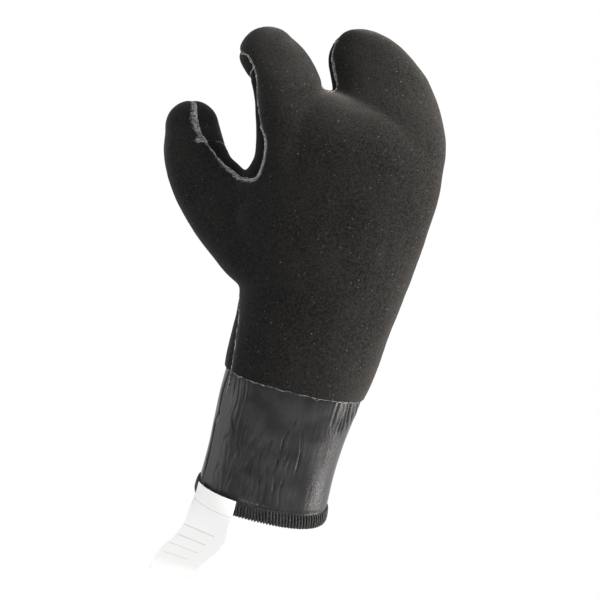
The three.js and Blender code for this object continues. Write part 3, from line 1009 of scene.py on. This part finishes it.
def hem_thread():
    """The hem's wraps of thread, side by side, slightly uneven."""
    angles, per_mm = wrap_angles()
    wraps = []
    for number, angle in enumerate(angles):
        jitter = WRAP_JITTER * wobble(11, number, 1.7)
        high = WRAP_UNEVEN * wobble(12, number, 2.3)
        if UNDER_LABEL[0] < angle < UNDER_LABEL[1]:
            high -= LABEL_DIP
        wrap = []
        for i, row in enumerate(WRAP_PATH):
            y = row["y"] + (high if row["y"] > WRAP_TOP else 0.0)
            turned = angle + (row["slant"] + jitter) * per_mm
            at = laid(surface_point(wrist.section(y, -row["off"]), turned))
            thick = THREAD_UNEVEN[0] + THREAD_UNEVEN[1] * wobble(13, number + 0.2 * i, 1.3)
            wrap.append((at, THREAD_RADIUS * thick))
        wraps.append(wrap)
    return bead("hem_thread", wraps)


# The thread bed's profile: places along the cuff, and how far off its outer surface
TAPE_PATH = [
    (5.9, 0.3), (3, 0.42), (0, 0.42), (-1, 0.3), (-1.15, -1.4),
    (-1, -3.3), (0, -3.42), (3, -3.42), (5.4, -3.3),
]
TAPE_THICK = 0.2
TAPE_SIDES = 120


def hem_tape():
    """The dark thread bed under the wraps, folded over the rubber's edge."""
    bm = bmesh.new()
    loft(bm, [wrist.section(y, -off) for y, off in TAPE_PATH], TAPE_SIDES, False)
    bmesh.ops.recalc_face_normals(bm, faces=bm.faces)
    tape = mesh_object("hem_tape", bm)
    wall = tape.modifiers.new("Wall", "SOLIDIFY")
    wall.thickness = TAPE_THICK
    take_in(tape)
    smooth_shading(lay(tape))
    return tape


# The label: its top lies on the hem between two angles, and the rest hangs through a row of middles
LABEL_WIDTH = 27.0
LABEL_THICK = 0.3
LABEL_ANGLES = (159, 108)
LABEL_SEWN = (7.0, -1.4)  # places on the cuff of its two sewn rows
LABEL_PROUD = 2.0  # of the cuff's surface there, over the thread
LABEL_LIFT = 0.6  # of the free part, off the surface that it comes to lie on
LABEL_COLUMNS = 28
LABEL_ROWS = 90
LABEL_RIPPLE = 0.5
LABEL_FREE = (0.15, 0.5)  # shares of its length between which the ripple grows
LENGTH_STEPS = 200
LABEL = table(
    "x y z turn tilt",
    (-28.2, -12, 45, -7, 24),
    (-28.8, -23, 39.2, -5.5, 17),
    (-32.6, -34, 29.4, -4.5, 11),
    (-37.4, -44, 17.4, -4.5, 6),
    (-41, -53, 7, -2, 2),
    (-43, -62, 1.6, 0, 0),
)


def label_row(share):
    """The label's lengthwise line at a share of its width, in the laid frame."""
    angle = LABEL_ANGLES[0] + (LABEL_ANGLES[1] - LABEL_ANGLES[0]) * share
    points = [laid(surface_point(wrist.section(y, -LABEL_PROUD), angle)) for y in LABEL_SEWN]
    for row in LABEL:
        turn, tilt = math.radians(row["turn"]), math.radians(row["tilt"])
        across = Vector((math.cos(turn) * math.cos(tilt), math.sin(turn) * math.cos(tilt), math.sin(tilt)))
        at = Vector((row["x"], row["y"], row["z"])) + across * (share - 0.5) * LABEL_WIDTH
        points.append(framed(at.x, at.y, at.z + LABEL_LIFT))
    return points


def label_ribbon():
    """The ribbon, and its length along its middle in metres."""
    bm = bmesh.new()
    layer = bm.verts.layers.float_vector.new("pattern")
    grid = bmesh.ops.create_grid(
        bm, x_segments=LABEL_COLUMNS, y_segments=LABEL_ROWS, size=0.5, calc_uvs=False
    )["verts"]
    lines = {}
    for vert in grid:
        share, down = vert.co.x + 0.5, 0.5 - vert.co.y
        key = round(share * LABEL_COLUMNS)
        if key not in lines:
            lines[key] = label_row(share)
        at = on_curve(lines[key], down)
        free = smoothstep(*LABEL_FREE, down)
        at.z += LABEL_RIPPLE * MM * free * noise.noise(Vector((share * 2.2, down * 5, 3.0)))
        vert[layer] = Vector((share, down, 0))
        vert.co = at
    ribbon = mesh_object("label_ribbon", bm)
    middle = lines[LABEL_COLUMNS // 2]
    line = [on_curve(middle, t) for t in steps(0, 1, LENGTH_STEPS)]
    length = sum((b - a).length for a, b in zip(line, line[1:]))
    wall = ribbon.modifiers.new("Wall", "SOLIDIFY")
    wall.thickness = LABEL_THICK * MM
    wall.offset = 0
    take_in(ribbon)
    smooth_shading(ribbon)
    return ribbon, length


# Runs of glue at the panels' foot: from one angle to another, how far they swing, and a seed
EDGE_RUNS = ((152, -30, 0.55, 21), (76, 38, 1.3, 25), (-34, -204, 0.8, 29))

# The pieces other than the panels
cuff_tree = plain_cuff_tree()
cuff = cuff_sleeve()
smooth_shading(lay(cuff), angle=60)
tape = hem_tape()
thread = hem_thread()
ribbon, ribbon_length = label_ribbon()
back_seam, *gusset_seams = seams
back_tree = tree_of([place for place, _ in back_seam])
glue_lines = [back_seam] + [from_crossing(line, back_tree) for line in gusset_seams]
seam_glue = bead("seam_glue", [seam_run(line, seed) for seed, line in enumerate(glue_lines, 3)])
edge_glue = bead("panel_edge_glue", [edge_run(*run) for run in EDGE_RUNS])


# Materials, from small helpers and groups that several of them use
def set_inputs(tree, node, sockets):
    """Sets inputs of a node, each to a value or to another node's output."""
    for name, value in sockets.items():
        if isinstance(value, bpy.types.NodeSocket):
            tree.links.new(value, node.inputs[name])
        else:
            node.inputs[name].default_value = value


def put(tree, kind, sockets=None, **settings):
    """A new node with its settings and inputs."""
    node = tree.nodes.new(kind)
    for name, value in settings.items():
        setattr(node, name, value)
    set_inputs(tree, node, sockets or {})
    return node


def group_of(name, inputs, outputs):
    """An empty shader node group with named inputs and outputs."""
    tree = bpy.data.node_groups.new(name, "ShaderNodeTree")
    for label, kind, value in inputs:
        socket = tree.interface.new_socket(label, in_out="INPUT", socket_type=kind)
        if value is not None:
            socket.default_value = value
    for label, kind in outputs:
        tree.interface.new_socket(label, in_out="OUTPUT", socket_type=kind)
    return tree, tree.nodes.new("NodeGroupInput").outputs, tree.nodes.new("NodeGroupOutput")


def grouped(tree, group, sockets):
    """A group's only output, or all its outputs where it has more."""
    outputs = put(tree, "ShaderNodeGroup", sockets, node_tree=group).outputs
    return outputs[0] if len(outputs) == 1 else outputs


def maths(tree, operation, a, b=None, clamp=False):
    """The result of one sum with values or outputs."""
    sockets = {0: a}
    if b is not None:
        sockets[1] = b
    return put(tree, "ShaderNodeMath", sockets, operation=operation, use_clamp=clamp).outputs[0]


def weighed(tree, *parts):
    """The sum of values, each times its weight."""
    shares = [maths(tree, "MULTIPLY", value, weight) for value, weight in parts]
    total = shares[0]
    for share in shares[1:]:
        total = maths(tree, "ADD", total, share)
    return total


def ramp(tree, value, low, high, start=0.0, end=1.0):
    """A smooth change from start to end, as a value goes from low to high."""
    sockets = {"Value": value, "From Min": low, "From Max": high, "To Min": start, "To Max": end}
    return put(tree, "ShaderNodeMapRange", sockets, interpolation_type="SMOOTHSTEP").outputs[0]


def blend_colour(tree, share, a, b):
    """Colour a where the share is 0 and colour b where it is 1."""
    factor, first, second, result = 0, 6, 7, 2
    node = put(tree, "ShaderNodeMix", {factor: share, first: a, second: b}, data_type="RGBA")
    return node.outputs[result]


def vectors(tree, operation, sockets):
    """The result of one sum with vectors."""
    return put(tree, "ShaderNodeVectorMath", sockets, operation=operation).outputs[0]


def fine_knit():
    """A fine stitch lattice that runs over a surface in any direction."""
    tree, given, out = group_of(
        "fine_knit",
        [("Pattern", "NodeSocketVector", None), ("Stitch", "NodeSocketFloat", 0.9)],
        [("Height", "NodeSocketFloat")],
    )
    turns = maths(tree, "DIVIDE", 2 * math.pi, given["Stitch"])
    scaled = vectors(tree, "SCALE", {0: given["Pattern"], 3: turns})
    axes = put(tree, "ShaderNodeSeparateXYZ", {0: scaled}).outputs
    sines = [maths(tree, "SINE", axis) for axis in axes]
    cosines = [maths(tree, "COSINE", axis) for axis in axes]
    total = maths(tree, "MULTIPLY", sines[0], cosines[1])
    for i in (1, 2):
        total = maths(tree, "ADD", total, maths(tree, "MULTIPLY", sines[i], cosines[(i + 1) % 3]))
    set_inputs(tree, out, {"Height": ramp(tree, total, -1.2, 1.2)})
    return tree


def lint_specks():
    """Short pale fibres caught on the cloth."""
    tree, given, out = group_of(
        "lint_specks",
        [
            ("Pattern", "NodeSocketVector", None),
            ("Spacing", "NodeSocketFloat", 4.0),
            ("Size", "NodeSocketFloat", 0.08),
            ("Amount", "NodeSocketFloat", 0.3),
        ],
        [("Mask", "NodeSocketFloat")],
    )
    per = maths(tree, "DIVIDE", 1.0, given["Spacing"])
    bent = put(tree, "ShaderNodeTexNoise", {"Vector": given["Pattern"], "Scale": 0.8, "Detail": 1.0})
    shift = vectors(tree, "SCALE", {0: bent.outputs["Color"], 3: 1.4})
    warped = vectors(tree, "ADD", {0: given["Pattern"], 1: shift})
    cells = put(tree, "ShaderNodeTexVoronoi", {"Vector": warped, "Scale": per})
    near = ramp(tree, cells.outputs["Distance"], given["Size"], 0.0)
    parts = put(tree, "ShaderNodeSeparateColor", {0: cells.outputs["Color"]})
    chosen = maths(tree, "LESS_THAN", parts.outputs[0], given["Amount"])
    set_inputs(tree, out, {"Mask": maths(tree, "MULTIPLY", near, chosen)})
    return tree


def slow_patches():
    """Soft uneven patches, from 0 to 1."""
    tree, given, out = group_of(
        "slow_patches",
        [
            ("Pattern", "NodeSocketVector", None),
            ("Size", "NodeSocketFloat", 20.0),
            ("Detail", "NodeSocketFloat", 3.0),
        ],
        [("Shade", "NodeSocketFloat")],
    )
    per = maths(tree, "DIVIDE", 1.0, given["Size"])
    sockets = {"Vector": given["Pattern"], "Scale": per, "Detail": given["Detail"]}
    cloud = put(tree, "ShaderNodeTexNoise", sockets).outputs["Fac"]
    set_inputs(tree, out, {"Shade": ramp(tree, cloud, 0.3, 0.7)})
    return tree


def glue_smear():
    """Dried glue rubbed over the cloth, uneven and flecked. Shade is low where it is thin."""
    tree, given, out = group_of(
        "glue_smear",
        [("Pattern", "NodeSocketVector", None), ("Amount", "NodeSocketFloat", 0.0)],
        [("Mask", "NodeSocketFloat"), ("Shade", "NodeSocketFloat")],
    )
    cloud, flecks = (
        put(
            tree,
            "ShaderNodeTexNoise",
            {"Vector": given["Pattern"], "Scale": scale, "Detail": detail, "Roughness": rough},
        ).outputs["Fac"]
        for scale, detail, rough in ((0.55, 5.0, 0.68), (1.15, 4.0, 0.7))
    )
    level = maths(tree, "ADD", given["Amount"], maths(tree, "MULTIPLY", cloud, 1.1))
    mask = ramp(tree, level, 0.72, 1.12)
    mask = maths(tree, "MULTIPLY", mask, ramp(tree, given["Amount"], 0.0, 0.12))
    mask = maths(tree, "MULTIPLY", mask, ramp(tree, flecks, 0.38, 0.55, start=0.12, end=1.0))
    shade = maths(tree, "ADD", maths(tree, "MULTIPLY", level, 0.5), flecks)
    set_inputs(tree, out, {"Mask": mask, "Shade": ramp(tree, shade, 0.75, 1.3)})
    return tree


KNIT = fine_knit()
LINT = lint_specks()
PATCHES = slow_patches()
SMEAR = glue_smear()


def new_material(name):
    """A material with its nodes and its own shader."""
    material = bpy.data.materials.new(name)
    material.use_nodes = True
    tree = material.node_tree
    return material, tree, tree.nodes["Principled BSDF"]


def raised(tree, height, strength, distance):
    """A normal from a pattern of heights. The distance is in millimetres."""
    sockets = {"Height": height, "Strength": strength, "Distance": distance * MM}
    return put(tree, "ShaderNodeBump", sockets).outputs[0]


def pattern_place(tree):
    """The place on the flat pattern, in millimetres, kept on the vertices."""
    return put(tree, "ShaderNodeAttribute", attribute_name="pattern").outputs["Vector"]


def laid_place(tree):
    """The place in the CAD frame, in millimetres."""
    place = put(tree, "ShaderNodeTexCoord").outputs["Object"]
    return vectors(tree, "SCALE", {0: place, 3: 1 / MM})


def noted(tree, name):
    """A value kept on the vertices."""
    return put(tree, "ShaderNodeAttribute", attribute_name=name).outputs["Fac"]


NAP_TINT = (0.9, 0.88, 0.865, 1)
LINT_COLOUR = (0.25, 0.24, 0.23, 1)
SMEAR_COLOURS = ((0.03, 0.03, 0.031, 1), (0.38, 0.377, 0.373, 1))


def knit_cloth(name, dark, light, nap, lint):
    """Fine black jersey bonded to foam: stitches, slow mottling, lint, and glue beside its seams."""
    material, tree, shader = new_material(name)
    place = pattern_place(tree)
    stitches = grouped(tree, KNIT, {"Pattern": place, "Stitch": 1.1})
    patches = grouped(tree, PATCHES, {"Pattern": place, "Size": 22.0, "Detail": 4.0})
    grain = grouped(tree, PATCHES, {"Pattern": place, "Size": 1.3, "Detail": 2.0})
    specks = grouped(tree, LINT, {"Pattern": place, "Spacing": 2.9, "Size": 0.14, "Amount": lint})
    smear, smear_shade = grouped(tree, SMEAR, {"Pattern": place, "Amount": noted(tree, "glue")})
    tone = weighed(tree, (patches, 0.25), (grain, 0.85), (stitches, 0.25))
    colour = blend_colour(tree, tone, dark, light)
    colour = blend_colour(tree, maths(tree, "MULTIPLY", specks, 0.5), colour, LINT_COLOUR)
    colour = blend_colour(tree, smear, colour, blend_colour(tree, smear_shade, *SMEAR_COLOURS))
    height = weighed(tree, (stitches, 0.5), (grain, 0.5), (smear, 0.8))
    set_inputs(
        tree,
        shader,
        {
            "Base Color": colour,
            "Roughness": ramp(tree, smear, 0, 1, start=0.92, end=0.5),
            "Normal": raised(tree, height, strength=0.5, distance=0.25),
            "Specular IOR Level": 0.12,
            "Sheen Weight": nap,
            "Sheen Roughness": 0.45,
            "Sheen Tint": NAP_TINT,
        },
    )
    return material


FOAM_COLOURS = ((0.012, 0.012, 0.013, 1), (0.03, 0.03, 0.031, 1))


def cut_foam(name):
    """The bare closed-cell foam of a panel's cut edge and inside."""
    material, tree, shader = new_material(name)
    place = pattern_place(tree)
    cells = put(tree, "ShaderNodeTexVoronoi", {"Vector": place, "Scale": 1.6}).outputs["Distance"]
    patches = grouped(tree, PATCHES, {"Pattern": place, "Size": 6.0, "Detail": 3.0})
    set_inputs(
        tree,
        shader,
        {
            "Base Color": blend_colour(tree, patches, *FOAM_COLOURS),
            "Normal": raised(tree, cells, strength=0.6, distance=0.3),
            "Roughness": 0.85,
            "Specular IOR Level": 0.2,
        },
    )
    return material


SKIN_COLOURS = ((0.013, 0.013, 0.0145, 1), (0.022, 0.022, 0.0238, 1))
# Painted shade: the near black colour of the bottom of the cuff's open side seam slit
SLIT_SHADE_COLOUR = (0.006, 0.006, 0.006, 1)
SLIT_SHADE_EDGE = (0.5, 1.5)  # from the side seam's middle, where the painted shade in its slit ends


def skinned_rubber(name):
    """Smooth satin skin of the cuff, with fine lengthwise lines, and painted shade down its side seam's
    open slit.
    """
    material, tree, shader = new_material(name)
    place = pattern_place(tree)
    drawn = put(tree, "ShaderNodeMapping", {"Vector": place, "Scale": (1.0, 0.14, 1.0)}).outputs[0]
    line_sockets = {"Vector": drawn, "Scale": 0.75, "Detail": 5.0, "Roughness": 0.6}
    lines = put(tree, "ShaderNodeTexNoise", line_sockets).outputs["Fac"]
    pores = put(tree, "ShaderNodeTexNoise", {"Vector": place, "Scale": 1.3, "Detail": 3.0}).outputs["Fac"]
    patches = grouped(tree, PATCHES, {"Pattern": place, "Size": 14.0, "Detail": 2.0})
    colour = blend_colour(tree, patches, *SKIN_COLOURS)
    # Painted shade: near black down the middle of the side seam's slit
    colour = blend_colour(tree, ramp(tree, noted(tree, "seam"), *SLIT_SHADE_EDGE), SLIT_SHADE_COLOUR, colour)
    height = maths(tree, "ADD", lines, maths(tree, "MULTIPLY", pores, 0.3))
    set_inputs(
        tree,
        shader,
        {
            "Base Color": colour,
            "Roughness": maths(tree, "ADD", 0.31, maths(tree, "MULTIPLY", patches, 0.12)),
            "Normal": raised(tree, height, strength=0.4, distance=0.5),
            "Specular IOR Level": 0.5,
        },
    )
    return material


GLUE_COLOURS = ((0.02, 0.02, 0.02, 1), (0.5, 0.5, 0.5, 1))


def dried_glue(name):
    """Pale dried glue with dark gaps in it."""
    material, tree, shader = new_material(name)
    patches = grouped(tree, PATCHES, {"Pattern": laid_place(tree), "Size": 1.5, "Detail": 4.0})
    set_inputs(
        tree,
        shader,
        {
            "Base Color": blend_colour(tree, patches, *GLUE_COLOURS),
            "Normal": raised(tree, patches, strength=0.5, distance=0.4),
            "Roughness": 0.38,
        },
    )
    return material


def spun_thread(name, dark):
    """Overlock thread, with the twist of its strands, three times lighter in places."""
    material, tree, shader = new_material(name)
    place = laid_place(tree)
    wave_sockets = {"Vector": place, "Scale": 1.1, "Distortion": 2.0, "Detail": 2.0}
    strands = put(tree, "ShaderNodeTexWave", wave_sockets, bands_direction="DIAGONAL").outputs["Fac"]
    patches = grouped(tree, PATCHES, {"Pattern": place, "Size": 3.0, "Detail": 3.0})
    light = tuple(3 * part for part in dark[:3]) + (1,)
    set_inputs(
        tree,
        shader,
        {
            "Base Color": blend_colour(tree, patches, dark, light),
            "Normal": raised(tree, strands, strength=0.3, distance=0.15),
            "Roughness": 0.62,
            "Specular IOR Level": 0.5,
            "Sheen Weight": 0.05,
        },
    )
    return material


# Ruled lines across the label, as shares of its length, and the part of the width they cross
RULES = (
    (0.17, 0.02, 0.98),
    (0.43, 0.02, 0.74),
    (0.535, 0.04, 0.70),
    (0.65, 0.04, 0.70),
    (0.78, 0.1, 0.66),
)
RULE_WIDE = 0.0035
RULE_INK = 0.7
SATIN_WHITE = (0.97, 0.97, 0.965, 1)
RULE_GREY = (0.22, 0.22, 0.23, 1)
WARP_TURNS = 400.0  # of the fine threads, over the label's width and length
WEFT_TURNS = 1700.0


def satin_ribbon(name):
    """White satin with thin grey ruled lines."""
    material, tree, shader = new_material(name)
    axes = put(tree, "ShaderNodeSeparateXYZ", {0: pattern_place(tree)}).outputs
    ink = None
    for down, left, right in RULES:
        off = maths(tree, "ABSOLUTE", maths(tree, "SUBTRACT", axes["Y"], down))
        line = ramp(tree, off, RULE_WIDE, RULE_WIDE * 0.4)
        line = maths(tree, "MULTIPLY", line, maths(tree, "GREATER_THAN", axes["X"], left))
        line = maths(tree, "MULTIPLY", line, maths(tree, "LESS_THAN", axes["X"], right))
        ink = line if ink is None else maths(tree, "ADD", ink, line, clamp=True)
    warp = maths(tree, "SINE", maths(tree, "MULTIPLY", axes["X"], WARP_TURNS))
    weft = maths(tree, "SINE", maths(tree, "MULTIPLY", axes["Y"], WEFT_TURNS))
    height = maths(tree, "ADD", warp, maths(tree, "MULTIPLY", weft, 0.5))
    colour = blend_colour(tree, maths(tree, "MULTIPLY", ink, RULE_INK), SATIN_WHITE, RULE_GREY)
    set_inputs(
        tree,
        shader,
        {
            "Base Color": colour,
            "Normal": raised(tree, height, strength=0.04, distance=0.08),
            "Roughness": 0.42,
            "Sheen Weight": 0.2,
        },
    )
    return material


back_cloth = knit_cloth(
    "back_cloth",
    dark=(0.0028, 0.0028, 0.003, 1),
    light=(0.0145, 0.0141, 0.0136, 1),
    nap=0.135,
    lint=0.6,
)
palm_cloth = knit_cloth(
    "palm_cloth",
    dark=(0.0035, 0.0035, 0.0036, 1),
    light=(0.015, 0.015, 0.0146, 1),
    nap=0.08,
    lint=0.4,
)
# The gussets wear the same jersey as the back, its colours painted darker: painted shade for where they
# lie between the fingers
shaded_gusset_cloth = knit_cloth(
    "shaded_gusset_cloth",
    dark=(0.003, 0.003, 0.003, 1),
    light=(0.007, 0.007, 0.007, 1),
    nap=0.03,
    lint=0.2,
)
foam = cut_foam("cut_foam")
# Each panel's cloth, and how much of the glue beside the seams shows on it
FINISHES = ((back_cloth, 1.0), (palm_cloth, 0.15), (shaded_gusset_cloth, 0.15), (shaded_gusset_cloth, 0.15))
for obj, name, (cloth, glued) in zip(panels, PANEL_NAMES, FINISHES):
    obj.name = name + "_foam"
    obj.data.name = obj.name
    obj.data.materials.append(cloth)
    obj.data.materials.append(foam)
    foam_panel(obj, cuff_tree, glued)
    smooth_shading(lay(obj))
cuff.data.materials.append(skinned_rubber("cuff_skin"))
tape.data.materials.append(spun_thread("thread_bed", (0.004, 0.004, 0.004, 1)))
thread.data.materials.append(spun_thread("hem_thread", (0.0062, 0.0062, 0.0064, 1)))
ribbon.data.materials.append(satin_ribbon("label_satin"))
pale_glue = dried_glue("dried_glue")
seam_glue.data.materials.append(pale_glue)
edge_glue.data.materials.append(pale_glue)

for obj, node in zip(panels, PANEL_NAMES):
    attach(obj, "root")
    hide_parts(node)
for obj, node in ((cuff, "cuff"), (thread, "hem_stitching"), (ribbon, "size_label")):
    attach(obj, "root")
    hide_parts(node)
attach(tape, "root")
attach(seam_glue, "root")
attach(edge_glue, "root")

# The camera at the photograph's angle: its place in millimetres in the CAD frame, and its directions
CAMERA_PLACE = (6.964, 60.863, 778.173)
CAMERA_RIGHT = (0.9703, 0.2419, 0.0)
CAMERA_UP = (-0.2413, 0.9679, -0.0698)
CAMERA_LENS = 77.586
CAMERA_SENSOR = 36.0


def photo_camera():
    """A camera turned and placed as the photograph's was."""
    data = bpy.data.cameras.new("camera")
    data.lens = CAMERA_LENS
    data.sensor_width = CAMERA_SENSOR
    camera = bpy.data.objects.new("camera", data)
    bpy.context.scene.collection.objects.link(camera)
    right, up = Vector(CAMERA_RIGHT), Vector(CAMERA_UP)
    turned = Matrix((right, up, right.cross(up))).transposed().to_4x4()
    camera.matrix_world = Matrix.Translation(Vector(CAMERA_PLACE) * MM) @ turned
    bpy.context.scene.camera = camera


FLOOR_HALF = 3.0
FLOOR_DROP = 0.0004
FLOOR_SEEN = ((1, 1, 1, 1), 1.0)  # colour and strength
FLOOR_GLOW = ((1, 0.985, 0.96, 1), 0.4)


def floor():
    """White paper that looks evenly lit, and throws less light back on the mitt than it shows."""
    bm = bmesh.new()
    bmesh.ops.create_grid(bm, x_segments=2, y_segments=2, size=FLOOR_HALF)
    ground = mesh_object("floor", bm)
    ground.location.z = -FLOOR_DROP
    material = bpy.data.materials.new("floor_paper")
    material.use_nodes = True
    tree = material.node_tree
    tree.nodes.clear()
    seen, glow = (
        put(tree, "ShaderNodeEmission", {"Color": colour, "Strength": strength}).outputs[0]
        for colour, strength in (FLOOR_SEEN, FLOOR_GLOW)
    )
    bounced = put(tree, "ShaderNodeLightPath").outputs["Is Diffuse Ray"]
    mix = put(tree, "ShaderNodeMixShader", {0: bounced, 1: seen, 2: glow})
    put(tree, "ShaderNodeOutputMaterial", {"Surface": mix.outputs[0]})
    ground.data.materials.append(material)


# Soft lights: place and aim in metres in the CAD frame, width and height in metres, power in watts,
# colour, and whether glossy surfaces mirror them
MITT_CENTRE = (0.02, 0.01, 0.03)
LIGHTS = table(
    "name place aim wide high power colour mirrored",
    ("overhead", (0.1, 0.15, 1.1), MITT_CENTRE, 0.5, 0.5, 2.1, (1.0, 1.0, 1.0), True),
    ("right_side", (0.85, 0.4, 0.16), MITT_CENTRE, 0.5, 0.9, 50.0, (1.0, 0.93, 0.85), False),
    ("left_side", (-0.75, -0.25, 0.1), MITT_CENTRE, 0.2, 0.7, 1.1, (1.0, 0.99, 1.0), True),
    ("cuff_side", (0.85, -0.07, 0.07), (0.02, -0.12, 0.03), 0.5, 0.4, 9.0, (1.0, 0.97, 0.93), True),
    ("far_side", (-0.25, 0.9, 0.4), MITT_CENTRE, 0.6, 0.3, 4.0, (1.0, 1.0, 1.0), True),
    ("near_side", (-0.2, -0.8, 0.5), (-0.05, -0.16, 0.03), 0.4, 0.3, 4.1, (1.0, 1.0, 1.0), True),
)
WORLD_STRENGTH = 0.2


def softbox(name, place, aim, wide, high, power, colour, mirrored):
    """A rectangular light that faces a place."""
    data = bpy.data.lights.new(name, "AREA")
    data.shape = "RECTANGLE"
    data.size, data.size_y = wide, high
    data.energy = power
    data.color = colour
    lamp = bpy.data.objects.new(name, data)
    bpy.context.scene.collection.objects.link(lamp)
    lamp.location = place
    lamp.rotation_mode = "QUATERNION"
    lamp.rotation_quaternion = (Vector(aim) - Vector(place)).to_track_quat("-Z", "Y")
    lamp.visible_glossy = mirrored


photo_camera()
floor()
for light in LIGHTS:
    softbox(**light)

world = bpy.data.worlds.new("studio")
bpy.context.scene.world = world
world.use_nodes = True
background = world.node_tree.nodes["Background"]
set_inputs(world.node_tree, background, {"Color": (1, 1, 1, 1), "Strength": WORLD_STRENGTH})
bpy.context.scene.view_settings.view_transform = "Standard"
